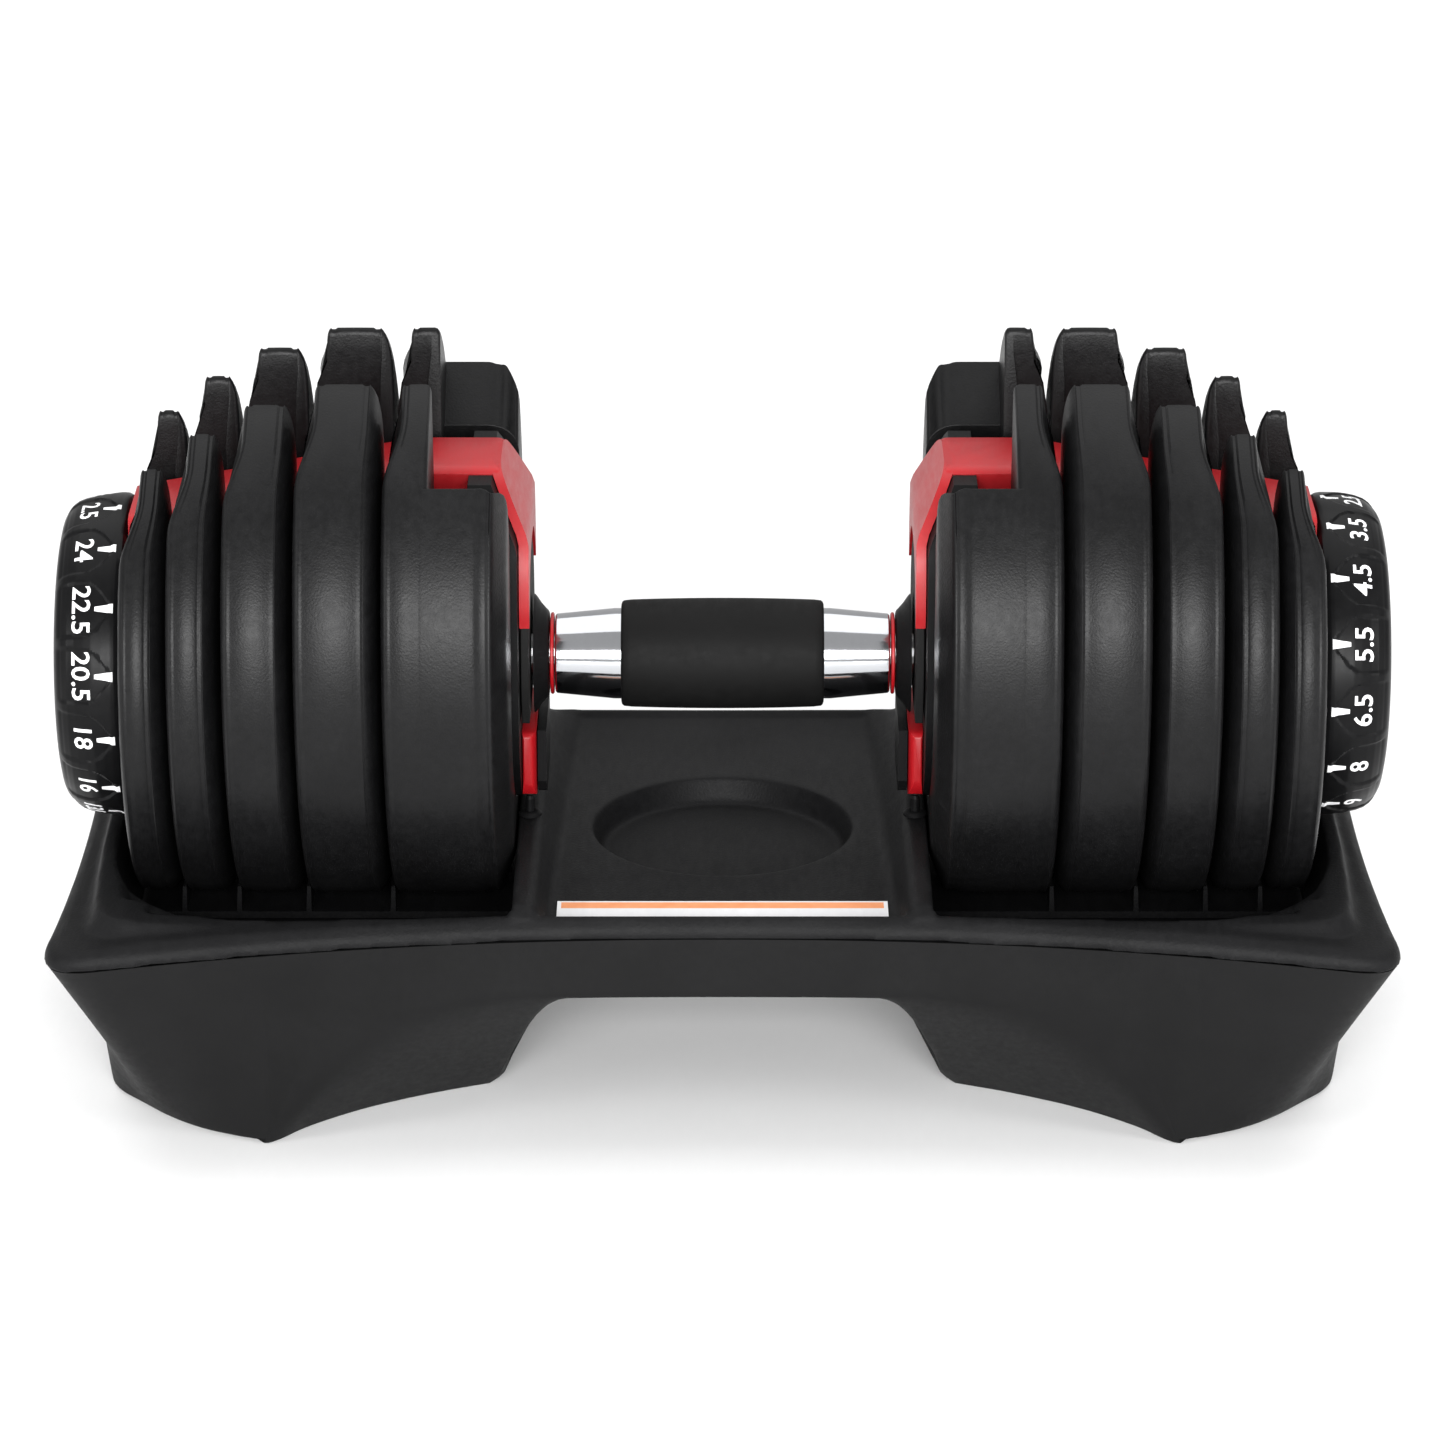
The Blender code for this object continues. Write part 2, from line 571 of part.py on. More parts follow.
def crest_z(x, y):
    """Top of the rim beside the wells and the deck."""
    end = min(abs(x) / CORNER_X, 1.0)
    return RIM_TOP_Z + 0.6 * MM * end ** 4


def rim_ring():
    """The cradle's lip and top flange as one closed band."""
    rings = []
    for x, y in cradle_outline():
        inner_x, inner_y = well_edge(x, y)
        seam = seam_z(x)
        crest = crest_z(x, y)
        ring = []
        for share, z in ((0.0, seam), (0.0, seam + 3.4 * MM), (0.12, seam + 6.2 * MM), (0.72, crest),
                         (1.0, crest - 1.2 * MM), (1.0, crest - 5 * MM), (0.3, seam + 2.4 * MM), (0.16, seam)):
            ring.append((x + (inner_x - x) * share, y + (inner_y - y) * share, z))
        rings.append(ring)
    return loft(rings, closed=True)


def deck_body():
    """Dished deck between the wells, with a ramp and a ledge along each of them."""
    rings = []
    for y, lift, drop in ((-86.5, 4.2, 3.6), (-83.4, 1.0, 2.4), (-81, 0, 1.6), (-60, 0, 0.4), (0, 0, 0), (60, 0.2, 0.4),
                          (73, 1.3, 1.0), (81, 2.7, 1.8), (86.5, 4.4, 3.6)):
        foot_x = (47.8 - 2.7 * y / 86.5) * MM
        deck_z = DECK_Z + lift * MM
        ledge_z = LEDGE_Z - drop * MM
        top = [(63 * MM, ledge_z), (57 * MM, ledge_z), (55 * MM, ledge_z - 1 * MM),
               (foot_x + 2 * MM, deck_z + 0.7 * MM), (foot_x, deck_z)]
        top += [(-x, z) for x, z in top[::-1]]
        rings.append([(x, y * MM, z) for x, z in top + [(x, z - SHELL) for x, z in top[::-1]]])
    return loft(rings)


def well_box(side):
    floor = [(x, y, WELL_FLOOR_Z - SHELL) for x, y in well_outline(side, WELL_WALL, 1.0)]
    top = [(x, y, RIM_TOP_Z - 2.4 * MM) for x, y in well_outline(side, WELL_WALL)]
    return loft([floor, top])


def ledge_wall(side):
    """Joins the inner wall of a well to the ledge above it."""
    return side_block(side, (58.4 * MM, -83.6 * MM, 74.4 * MM), (64 * MM, 83.6 * MM, 80.15 * MM))


def well_cut(side):
    floor = [(x, y, WELL_FLOOR_Z) for x, y in well_outline(side, 0.0, 1.0)]
    top = [(x, y, RIM_TOP_Z) for x, y in well_outline(side)]
    above = [(x, y, 120 * MM) for x, y in well_outline(side)]
    return loft([floor, top, above])


def make_top_shell(finish, parent):
    shell = solid("tray_top_shell", rim_ring(), finish, parent)
    combine(shell, "deck_tool", deck_body(), "UNION")
    floor_z = DECK_Z - RECESS_DEPTH
    cup = post(0, 0, [(floor_z - SHELL, RECESS_FLOOR_R + 3 * MM), (DECK_Z - 1 * MM, RECESS_R + 3 * MM)], 40)
    combine(shell, "recess_boss", cup, "UNION")
    for word, side in SIDES.items():
        combine(shell, f"well_box_{word}", well_box(side), "UNION")
        combine(shell, f"ledge_wall_{word}", ledge_wall(side), "UNION")
    for word, side in SIDES.items():
        combine(shell, f"well_cut_{word}", well_cut(side), "DIFFERENCE")
    recess = post(0, 0, [(floor_z, RECESS_FLOOR_R), (DECK_Z, RECESS_R), (DECK_Z + 4 * MM, RECESS_R + 1.5 * MM)], 40)
    combine(shell, "recess_cut", recess, "DIFFERENCE")
    for word, side in SIDES.items():
        hole = post(side * LOCK_X, LOCK_Y, [(70 * MM, 1.8 * MM), (95 * MM, 1.8 * MM)], 10)
        combine(shell, f"post_hole_{word}", hole, "DIFFERENCE")


def foot_outline():
    """Where the +X foot meets the floor: outer stations from its tip to its end, and inner ones up to the tip."""
    outer = [(138.5, 76), (147, 72.5), (158, 67), (168.5, 58.5), (178, 48), (184.5, 40.5), (188, 34)]
    inner = [(70, 32), (89, 40), (109, 51), (125, 63.5), (133, 72), (138.5, 76)]
    return [(x * MM, y * MM) for x, y in outer], [(x * MM, y * MM) for x, y in inner]


def value_at(run, x):
    """Second value of a run of pairs in mm at x, straight between them."""
    for (x0, v0), (x1, v1) in zip(run, run[1:]):
        if x <= x1:
            return v0 + (v1 - v0) * min(max((x - x0) / (x1 - x0), 0.0), 1.0)
    return run[-1][1]


def curve_at(points, share):
    """Point at a share of the way along a run of (x, y) points."""
    place = share * (len(points) - 1)
    i = min(int(place), len(points) - 2)
    t = place - i
    return tuple(a + (b - a) * t for a, b in zip(points[i], points[i + 1]))


def skirt_stations():
    """(outline point, crease point, foot point) for a quarter of the skirt, from the front's middle to the end."""
    outer, inner = foot_outline()
    crest = [(40, 52.6), (60, 51.8), (82, 48.2), (101, 42.8), (116, 37), (123, 31.6), (128, 24.8), (133, 14),
             (138.5, 0.5)]
    cheek = [(0, 52.6), (0.2, 51.2), (0.42, 46), (0.66, 30), (0.86, 12), (1.0, 0.5)]
    tip_x = outer[0][0]
    stations = []
    for x, y in [point for point in cradle_outline(0.8 * MM) if point[0] >= 0 and point[1] >= 0]:
        top = (x, y, seam_z(x) - GAP)
        if x <= ARCH_HALF:
            crease = (x, y - 2 * MM, ARCH_Z)
            foot = (x, y - 7 * MM, ARCH_Z)
        elif x < tip_x:
            share = (x - ARCH_HALF) / (tip_x - ARCH_HALF)
            tuck = 2 * MM + (y - 78 * MM) * share ** 2.4
            crease = (x, y - tuck, value_at(crest, x / MM) * MM)
            under = min(share / 0.16, 1.0)
            foot_x, foot_y = curve_at(inner, max(0.0, (share - 0.16) / 0.84))
            foot_x = ARCH_HALF + (foot_x - ARCH_HALF) * under ** 0.85
            foot_y = y - 7 * MM + (foot_y - y + 7 * MM) * under ** 1.6
            foot = (foot_x, foot_y, value_at(cheek, under) * MM)
        else:
            angle = atan2(y, x - tip_x * 0.6) / atan2(1.0, 0.42)
            share = 1 - min(1.0, max(0.0, angle))
            crease_x, crease_y = curve_at(outer, min(1.0, share * 1.35))
            if y < outer[-1][1]:
                crease_y = y
            crease = (crease_x, crease_y, 1 * MM)
            foot = (crease_x - 3 * MM, crease_y * 0.95, 1 * MM)
        stations.append((top, crease, foot))
    return stations


def skirt_body():
    quarter = skirt_stations()

    def mirrored(sx, sy, run):
        return [tuple((sx * x, sy * y, z) for x, y, z in station) for station in run]

    loop = quarter + mirrored(1, -1, quarter[-2::-1]) + mirrored(-1, -1, quarter[1:]) + mirrored(-1, 1, quarter[-2:0:-1])
    wall = 2.2 * MM
    rings = []
    for top, crease, foot in loop:
        def inward(point, amount, lift=0.0):
            flat = Vector((point[0], point[1]))
            flat *= 1 - amount / max(flat.length, 1 * MM)
            return (flat.x, flat.y, point[2] + lift)
        rings.append([top, crease, foot, inward(foot, wall, 1.5 * MM), inward(crease, wall * 1.6, 3 * MM),
                      inward(top, wall)])
    return loft(rings, closed=True)


def make_base(looks, parent):
    base = solid("tray_base", skirt_body(), looks["skirt"], parent)
    outer, inner = foot_outline()
    for word, side in SIDES.items():
        half = [(x - 2 * MM, y - 1.6 * MM) for x, y in outer[::-1]] + inner[-2::-1]
        plan = [(side * x, y) for x, y in half] + [(side * x, -y) for x, y in half[::-1]]
        floor = loft([[(x, y, z) for x, y in plan] for z in (2.2 * MM, 5.2 * MM)])
        combine(base, f"pod_floor_{word}", floor, "UNION")
        wall = side_block(side, (69 * MM, -34 * MM, 2.6 * MM), (72 * MM, 34 * MM, 50 * MM))
        combine(base, f"pod_wall_{word}", wall, "UNION")


def rack_body(side):
    """Comb on the well's floor that the plates stand in."""
    foot_z = WELL_FLOOR_Z + GAP
    outline = [(64.5 * MM, foot_z), (64.5 * MM, RACK_TOP_Z)]
    for near in PLATE_SPANS[:-1]:
        for x, z in ((0.35, RACK_TOP_Z), (0.35, RACK_FIN_TOP_Z), (1.5, RACK_FIN_TOP_Z), (1.95, RACK_TOP_Z)):
            outline.append((near[1] + x * MM, z))
    outline += [(178 * MM, RACK_TOP_Z), (178 * MM, foot_z)]
    return loft([[(side * x, y, z) for x, z in outline] for y in (-32 * MM, 32 * MM)])


def make_cradle(looks, parent):
    make_top_shell(looks["tray"], parent)
    make_base(looks, parent)
    for word, side in SIDES.items():
        for end, across in (("front", -1), ("rear", 1)):
            levels = [(0, 6.2 * MM), (0.8 * MM, 7 * MM), (1.9 * MM, 7 * MM)]
            foot = post(side * FOOT_AT[0], across * FOOT_AT[1], levels)
            solid(f"rubber_foot_{end}_{word}", foot, looks["rubber"], parent)
        pin = post(side * LOCK_X, LOCK_Y, [(78 * MM, 1.4 * MM), (88.6 * MM, 1.4 * MM), (89.6 * MM, 0.9 * MM)], 10)
        solid(f"lock_post_{word}", pin, looks["steel"], parent)
        solid(f"plate_rack_{word}", rack_body(side), looks["tray"], parent)
    label = block((-49.4 * MM, -74.5 * MM, DECK_Z + GAP), (49.4 * MM, -62.5 * MM, DECK_Z + GAP + 0.4 * MM))
    solid("deck_label", label, looks["label"], parent)


def main():
    for leftover in list(bpy.data.objects):
        bpy.data.objects.remove(leftover, do_unlink=True)
    looks = {
        "tray": material("tray_black", (0.018, 0.018, 0.018), 0.72),
        "skirt": material("skirt_black", (0.015, 0.015, 0.015), 0.62),
        "plate": material("plate_black", (0.013, 0.013, 0.014), 0.45),
        "dial": material("dial_black", (0.01, 0.01, 0.01), 0.4),
        "nylon": material("nylon_black", (0.012, 0.012, 0.012), 0.5),
        "textured": material("textured_black", (0.02, 0.02, 0.02), 0.7),
        "red": material("red_plastic", (0.6, 0.012, 0.016), 0.35),
        "chrome": material("chrome", (0.85, 0.85, 0.86), 0.06, 1.0),
        "steel": material("steel", (0.5, 0.5, 0.5), 0.3, 1.0),
        "rubber": material("rubber_black", (0.016, 0.016, 0.016), 0.8),
        "label": material("label_white", (0.8, 0.8, 0.8), 0.5),
    }
    tray = empty("tray_frame", (0, 0, 0))
    plate_frames = [empty(f"plate_{i + 1}_frame", (0, 0, AXIS_Z)) for i in range(len(PLATE_LB))]
    handle = empty("handle_frame", (0, 0, AXIS_Z))
    selectors = {word: empty(f"selector_{word}_frame", (0, 0, AXIS_Z)) for word in SIDES}
    locks = {word: empty(f"lock_{word}_frame", (side * LOCK_X, LOCK_Y, LOCK_FOOT_Z)) for word, side in SIDES.items()}
    bpy.context.view_layer.update()
    make_cradle(looks, tray)
    make_plates(looks["plate"], plate_frames)
    make_handle(looks, handle, locks)
    make_selectors(looks, selectors)


main()
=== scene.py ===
"""Looks of an adjustable dumbbell on its cradle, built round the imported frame.

Metres, +Z up, +X to the right end, -Y to the front. The handle's axis lies along X at the height AXIS.
Side is -1 for the left bell and 1 for the right one, and h is a height above the axis.
"""

import json
from math import asin, atan2, cos, pi, radians, sin, sqrt, tau

import bmesh
import bpy
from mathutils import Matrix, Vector


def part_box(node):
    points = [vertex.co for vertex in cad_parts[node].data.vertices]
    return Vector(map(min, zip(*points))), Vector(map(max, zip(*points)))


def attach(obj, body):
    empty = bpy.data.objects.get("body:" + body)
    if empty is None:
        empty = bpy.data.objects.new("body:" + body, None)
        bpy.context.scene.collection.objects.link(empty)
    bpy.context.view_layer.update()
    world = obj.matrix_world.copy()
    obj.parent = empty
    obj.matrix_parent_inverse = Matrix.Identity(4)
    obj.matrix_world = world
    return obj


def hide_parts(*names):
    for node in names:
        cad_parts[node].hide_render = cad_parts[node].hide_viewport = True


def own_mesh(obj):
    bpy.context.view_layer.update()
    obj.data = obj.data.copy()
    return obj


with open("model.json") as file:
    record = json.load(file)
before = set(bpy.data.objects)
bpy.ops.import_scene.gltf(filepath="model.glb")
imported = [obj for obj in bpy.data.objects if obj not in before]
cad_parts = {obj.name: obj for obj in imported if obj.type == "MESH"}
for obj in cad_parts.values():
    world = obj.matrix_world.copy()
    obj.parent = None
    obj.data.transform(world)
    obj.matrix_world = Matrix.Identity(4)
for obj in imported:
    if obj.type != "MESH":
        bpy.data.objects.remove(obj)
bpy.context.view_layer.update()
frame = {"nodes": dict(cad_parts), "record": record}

MM = 0.001
SIDES = {"left": -1, "right": 1}
BODY_OF = {node: body for body, nodes in frame["record"]["behaviour"]["bodies"].items() for node in nodes}


# ---------------------------------------------------------------- camera and light

def add_camera():
    data = bpy.data.cameras.new("camera")
    data.lens = 141.3
    data.sensor_width = 36
    camera = bpy.data.objects.new("camera", data)
    camera.location = (0, -1.627, 0.735)
    camera.rotation_euler = (radians(68.9), 0, 0)
    bpy.context.scene.collection.objects.link(camera)
    bpy.context.scene.camera = camera


def soft_light(name, place, aim, size, energy):
    data = bpy.data.lights.new(name, "AREA")
    data.shape = "RECTANGLE"
    data.size, data.size_y = size
    data.energy = energy
    light = bpy.data.objects.new(name, data)
    light.location = place
    light.rotation_euler = (Vector(aim) - Vector(place)).to_track_quat("-Z", "Y").to_euler()
    bpy.context.scene.collection.objects.link(light)


def add_lights():
    world = bpy.data.worlds.new("studio")
    world.use_nodes = True
    world.node_tree.nodes["Background"].inputs["Color"].default_value = (1, 1, 1, 1)
    world.node_tree.nodes["Background"].inputs["Strength"].default_value = 0.6
    bpy.context.scene.world = world
    bpy.context.scene.view_settings.view_transform = "Standard"
    soft_light("top_box", (0, 0.9, 2.4), (0, 0.6, 0), (3.6, 3.0), 48)
    soft_light("front_box", (0, -2.5, 0.85), (0, 0, 0.12), (1.7, 0.9), 110)
    for side in SIDES.values():
        soft_light("side_box", (side * 1.6, -0.9, 0.6), (0, 0, 0.12), (0.4, 0.8), 10)


# ---------------------------------------------------------------- materials

def wire(tree, kind, links=None, **values):
    """Adds a shader node; links maps an input name to the socket that feeds it."""
    node = tree.nodes.new(kind)
    for key, value in values.items():
        if key in node.inputs:
            node.inputs[key].default_value = value
        else:
            setattr(node, key, value)
    for key, source in (links or {}).items():
        tree.links.new(source, node.inputs[key])
    return node


def stretched(tree, scale):
    """Object coordinates, scaled along each axis."""
    place = wire(tree, "ShaderNodeTexCoord").outputs["Object"]
    return wire(tree, "ShaderNodeMapping", {"Vector": place}, Scale=scale).outputs["Vector"]


def spread(tree, source, low, high):
    """Maps a 0.3 to 0.7 noise value onto low to high."""
    return wire(tree, "ShaderNodeMapRange", {"Value": source},
                **{"From Min": 0.3, "From Max": 0.7, "To Min": low,
                                                                   "To Max": high}).outputs["Result"]


def shades(tree, share, dark, light):
    """Colour between two tints of the same paint."""
    mix = wire(tree, "ShaderNodeMix", data_type="RGBA")
    tree.links.new(share, mix.inputs[0])
    mix.inputs[6].default_value = (*dark, 1)
    mix.inputs[7].default_value = (*light, 1)
    return mix.outputs[2]


def finish(name, colour, roughness, metallic=0.0, variation=0.12, grain="spark", grain_size=0.5, depth=0.03,
           stretch=(1, 1, 1), coat=0.0, specular=0.10):
    """Moulded, turned or painted surface: mottled tint, uneven gloss, scuffs and a grain sized in mm."""
    material = bpy.data.materials.new(name)
    material.use_nodes = True
    tree = material.node_tree
    shader = tree.nodes["Principled BSDF"]
    shader.inputs["Metallic"].default_value = metallic
    shader.inputs["Coat Weight"].default_value = coat
    shader.inputs["Specular IOR Level"].default_value = specular

    mottle = wire(tree, "ShaderNodeTexNoise", {"Vector": stretched(tree, (1, 1, 1))}, Scale=38.0, Detail=4.0)
    scuff = wire(tree, "ShaderNodeTexNoise", {"Vector": stretched(tree, (1, 0.25, 1))}, Scale=420.0,
                 Detail=5.0,
                 Roughness=0.7)
    where = stretched(tree, stretch)
    if grain == "leather":
        bend = wire(tree, "ShaderNodeTexNoise", {"Vector": where}, Scale=600.0 / grain_size, Detail=2.0)
        cells = wire(tree, "ShaderNodeTexVoronoi", {"Vector": where}, feature="SMOOTH_F1",
                     Scale=1000.0 / grain_size)
        height = wire(tree, "ShaderNodeMath", {0: cells.outputs["Distance"], 1: bend.outputs["Fac"]},
                      operation="ADD").outputs[0]
    else:
        fine = wire(tree, "ShaderNodeTexNoise", {"Vector": where}, Scale=1000.0 / grain_size, Detail=3.0,
                    Roughness=0.6)
        height = fine.outputs["Fac"]
    bump = wire(tree, "ShaderNodeBump", {"Height": height}, Strength=0.8, Distance=depth * MM)
    tree.links.new(bump.outputs["Normal"], shader.inputs["Normal"])

    blend = wire(tree, "ShaderNodeMath", {0: mottle.outputs["Fac"], 1: scuff.outputs["Fac"]},
                 operation="MULTIPLY")
    share = wire(tree, "ShaderNodeMapRange", {"Value": blend.outputs[0]},
                 **{"From Min": 0.12, "From Max": 0.4})
    dark = [value * (1 - variation) for value in colour]
    light = [min(1.0, value * (1 + variation) + 0.004 * variation) for value in colour]
    tree.links.new(shades(tree, share.outputs["Result"], dark, light), shader.inputs["Base Color"])
    tree.links.new(spread(tree, scuff.outputs["Fac"], roughness * 0.88, min(1.0, roughness * 1.14)),
                   shader.inputs["Roughness"])
    return material


def label_finish():
    """White printed film with an orange band along its rear edge."""
    material = finish("label_print", (0.80, 0.80, 0.81), 0.38, grain_size=0.9, depth=0.01, variation=0.05)
    tree = material.node_tree
    shader = tree.nodes["Principled BSDF"]
    white = shader.inputs["Base Color"].links[0].from_socket
    place = wire(tree, "ShaderNodeTexCoord").outputs["Object"]
    axes = wire(tree, "ShaderNodeSeparateXYZ", {"Vector": place})

    def inside(socket, low, high):
        above = wire(tree, "ShaderNodeMath", {0: socket}, operation="GREATER_THAN")
        above.inputs[1].default_value = low
        below = wire(tree, "ShaderNodeMath", {0: socket}, operation="LESS_THAN")
        below.inputs[1].default_value = high
        return wire(tree, "ShaderNodeMath", {0: above.outputs[0], 1: below.outputs[0]},
                    operation="MULTIPLY").outputs[0]

    low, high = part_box("deck_label")
    across = inside(axes.outputs["X"], low.x + 1.2 * MM, high.x - 1.2 * MM)
    along = inside(axes.outputs["Y"], high.y - 5.4 * MM, high.y - 0.9 * MM)
    band = wire(tree, "ShaderNodeMath", {0: across, 1: along}, operation="MULTIPLY").outputs[0]
    tint = wire(tree, "ShaderNodeTexNoise", {"Vector": place}, Scale=260.0, Detail=3.0)
    orange = shades(tree, tint.outputs["Fac"], (0.80, 0.27, 0.10), (0.90, 0.40, 0.20))
    mix = wire(tree, "ShaderNodeMix", data_type="RGBA")
    tree.links.new(band, mix.inputs[0])
    tree.links.new(white, mix.inputs[6])
    tree.links.new(orange, mix.inputs[7])
    tree.links.new(mix.outputs[2], shader.inputs["Base Color"])
    return material


def make_finishes():
    black = (0.0045, 0.0045, 0.0048)
    return {
        "tray_black": finish("tray_black", (0.006, 0.006, 0.0064), 0.54, grain_size=0.8, depth=0.16,
                             variation=0.2),
        "skirt_black": finish("skirt_black", (0.0065, 0.0065, 0.0067), 0.55, grain_size=0.4, depth=0.03),
        "label_print": label_finish(),
        "foot_rubber": finish("foot_rubber", (0.012, 0.012, 0.012), 0.8, grain_size=0.6, depth=0.04),
        "bare_steel": finish("bare_steel", (0.42, 0.42, 0.43), 0.32, metallic=1.0, grain_size=0.6, depth=0.01,
                             stretch=(0.1, 1, 1)),
        "coated_iron": finish("coated_iron", black, 0.40, grain="leather", grain_size=0.6, depth=0.05,
                              variation=0.25, specular=0.16),
        "chrome_tube": finish("chrome_tube", (0.50, 0.51, 0.53), 0.09, metallic=1.0, grain_size=2.5,
                              depth=0.004,
                              variation=0.03),
        "grip_rubber": finish("grip_rubber", (0.005, 0.005, 0.005), 0.62, grain_size=0.35, depth=0.03),
        "red_plastic": finish("red_plastic", (0.36, 0.004, 0.008), 0.42, grain_size=0.7, depth=0.008,
                              variation=0.07, specular=0.4),
        "black_nylon": finish("black_nylon", black, 0.5, grain_size=0.5, depth=0.02),
        "textured_black": finish("textured_black", (0.010, 0.010, 0.010), 0.66, grain_size=0.9, depth=0.08),
        "dial_black": finish("dial_black", (0.004, 0.004, 0.0043), 0.34, grain_size=0.5, depth=0.01),
        "dial_print": finish("dial_print", (0.84, 0.84, 0.85), 0.45, grain_size=0.5, depth=0.008,
                             variation=0.04),
    }


# ---------------------------------------------------------------- mesh tools

def bake(obj):
    """Object's mesh with its modifiers applied."""
    graph = bpy.context.evaluated_depsgraph_get()
    mesh = bpy.data.meshes.new_from_object(obj.evaluated_get(graph))
    obj.modifiers.clear()
    obj.data = mesh
    return obj


def raw(name, body):
    points, faces = body
    mesh = bpy.data.meshes.new(name)
    mesh.from_pydata(points, [], faces)
    work = bmesh.new()
    work.from_mesh(mesh)
    bmesh.ops.recalc_face_normals(work, faces=work.faces)
    work.to_mesh(mesh)
    work.free()
    obj = bpy.data.objects.new(name, mesh)
    bpy.context.scene.collection.objects.link(obj)
    return obj


def combine(target, body, operation):
    tool = raw("tool", body)
    change = target.modifiers.new("change", "BOOLEAN")
    change.operation = operation
    change.solver = "EXACT"
    change.object = tool
    bake(target)
    bpy.data.objects.remove(tool)


def shade(obj, angle=34.0):
    """Smooth faces, with an edge kept sharp where its faces meet at more than the angle."""
    work = bmesh.new()
    work.from_mesh(obj.data)
    for face in work.faces:
        face.smooth = True
    for edge in work.edges:
        edge.smooth = not (edge.is_manifold and edge.calc_face_angle(0.0) > radians(angle))
    work.to_mesh(obj.data)
    work.free()


def round_edges(obj, width, segments=3, angle=32.0):
    bevel = obj.modifiers.new("round", "BEVEL")
    bevel.width = width
    bevel.segments = segments
    bevel.limit_method = "ANGLE"
    bevel.angle_limit = radians(angle)
    bevel.harden_normals = True


def show(obj, material, node=None, body=None, bevel=0.0, angle=34.0):
    """Hands a finished piece to the frame: its body, the CAD node that it stands for, and its finish."""
    obj.data.materials.clear()
    obj.data.materials.append(finishes[material])
    shade(obj, angle)
    if bevel:
        round_edges(obj, bevel)
    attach(obj, body or BODY_OF[node])
    if node:
        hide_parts(node)
    return obj


def loft(rings, closed=False):
    """Skin over rings of equal length; the ends are capped unless the rings close on themselves."""
    count = len(rings[0])
    points = [point for ring in rings for point in ring]
    spans = len(rings) if closed else len(rings) - 1
    faces = []
    for i in range(spans):
        a = i * count
        b = (i + 1) % len(rings) * count
        for j in range(count):
            k = (j + 1) % count
            faces.append((a + j, a + k, b + k, b + j))
    if not closed:
        faces.append(tuple(range(count)))
        faces.append(tuple(range(len(points) - count, len(points))))
    return points, faces


def turned(side, profile, segments=96):
    """Closed profile of (x, radius) points in mm, turned about the handle's axis."""
    rings = []
    for i in range(segments):
        angle = tau * i / segments
        rings.append([(side * x * MM, r * MM * sin(angle), AXIS + r * MM * cos(angle)) for x, r in profile])
    return loft(rings, closed=True)


def rod(side, x0, x1, radius, segments=48):
    rings = []
    for x in (x0, x1):
        rings.append([(side * x * MM, radius * MM * sin(tau * i / segments),
                       AXIS + radius * MM * cos(tau * i / segments))
                      for i in range(segments)])
    return loft(rings)


def post(x, y, levels, segments=24):
    """Upright solid through (z, radius) levels, in mm."""
    rings = []
    for z, radius in levels:
        rings.append([((x + radius * cos(tau * i / segments)) * MM,
                       (y + radius * sin(tau * i / segments)) * MM, z * MM)
                      for i in range(segments)])
    return loft(rings)


def block(low, high):
    (x0, y0, z0), (x1, y1, z1) = low, high
    return loft([[(x0, y0, z), (x1, y0, z), (x1, y1, z), (x0, y1, z)] for z in (z0, z1)])


def eased(points, steps=6):
    """Smooth open curve through the points."""
    run = [Vector(point) for point in points]
    run = [run[0] * 2 - run[1]] + run + [run[-1] * 2 - run[-2]]
    curve = []
    for a, b, c, d in zip(run, run[1:], run[2:], run[3:]):
        for i in range(steps):
            t = i / steps
            curve.append(0.5 * (b * 2 + (c - a) * t + (a * 2 - b * 5 + c * 4 - d) * t ** 2
                                + (b * 3 - a - c * 3 + d) * t ** 3))
    return [tuple(point) for point in curve + [run[-2]]]


def height_at(run, x):
    """Second value of a run of pairs at x, straight between them."""
    for (x0, v0), (x1, v1) in zip(run, run[1:]):
        if x <= x1:
            return v0 + (v1 - v0) * min(max((x - x0) / (x1 - x0), 0.0), 1.0)
    return run[-1][1]


AXIS = (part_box("core_shaft")[0].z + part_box("core_shaft")[1].z) / 2


# ---------------------------------------------------------------- plates

PLATE_RADII = [86.0, 86.0, 82.9, 78.5, 73.2]
PLATE_CHAMFERS = [3.2, 4.0, 3.6, 3.6, 4.0]
PLATE_FOOT_H = -72.0
CHAMFER_RISE = 13.0
TIP_TAPER = 4.6
TIP_RISE = 20.0
WEB = 4.0
WEB_SLOT_R = 17.2
SLOT_R = 27.0
COLLAR_X = (63.0, 86.0)
COLLAR_SLOT_R = 44.0
COLLAR_TOP_H = 74.0
COLLAR_SLOPE = 15.0


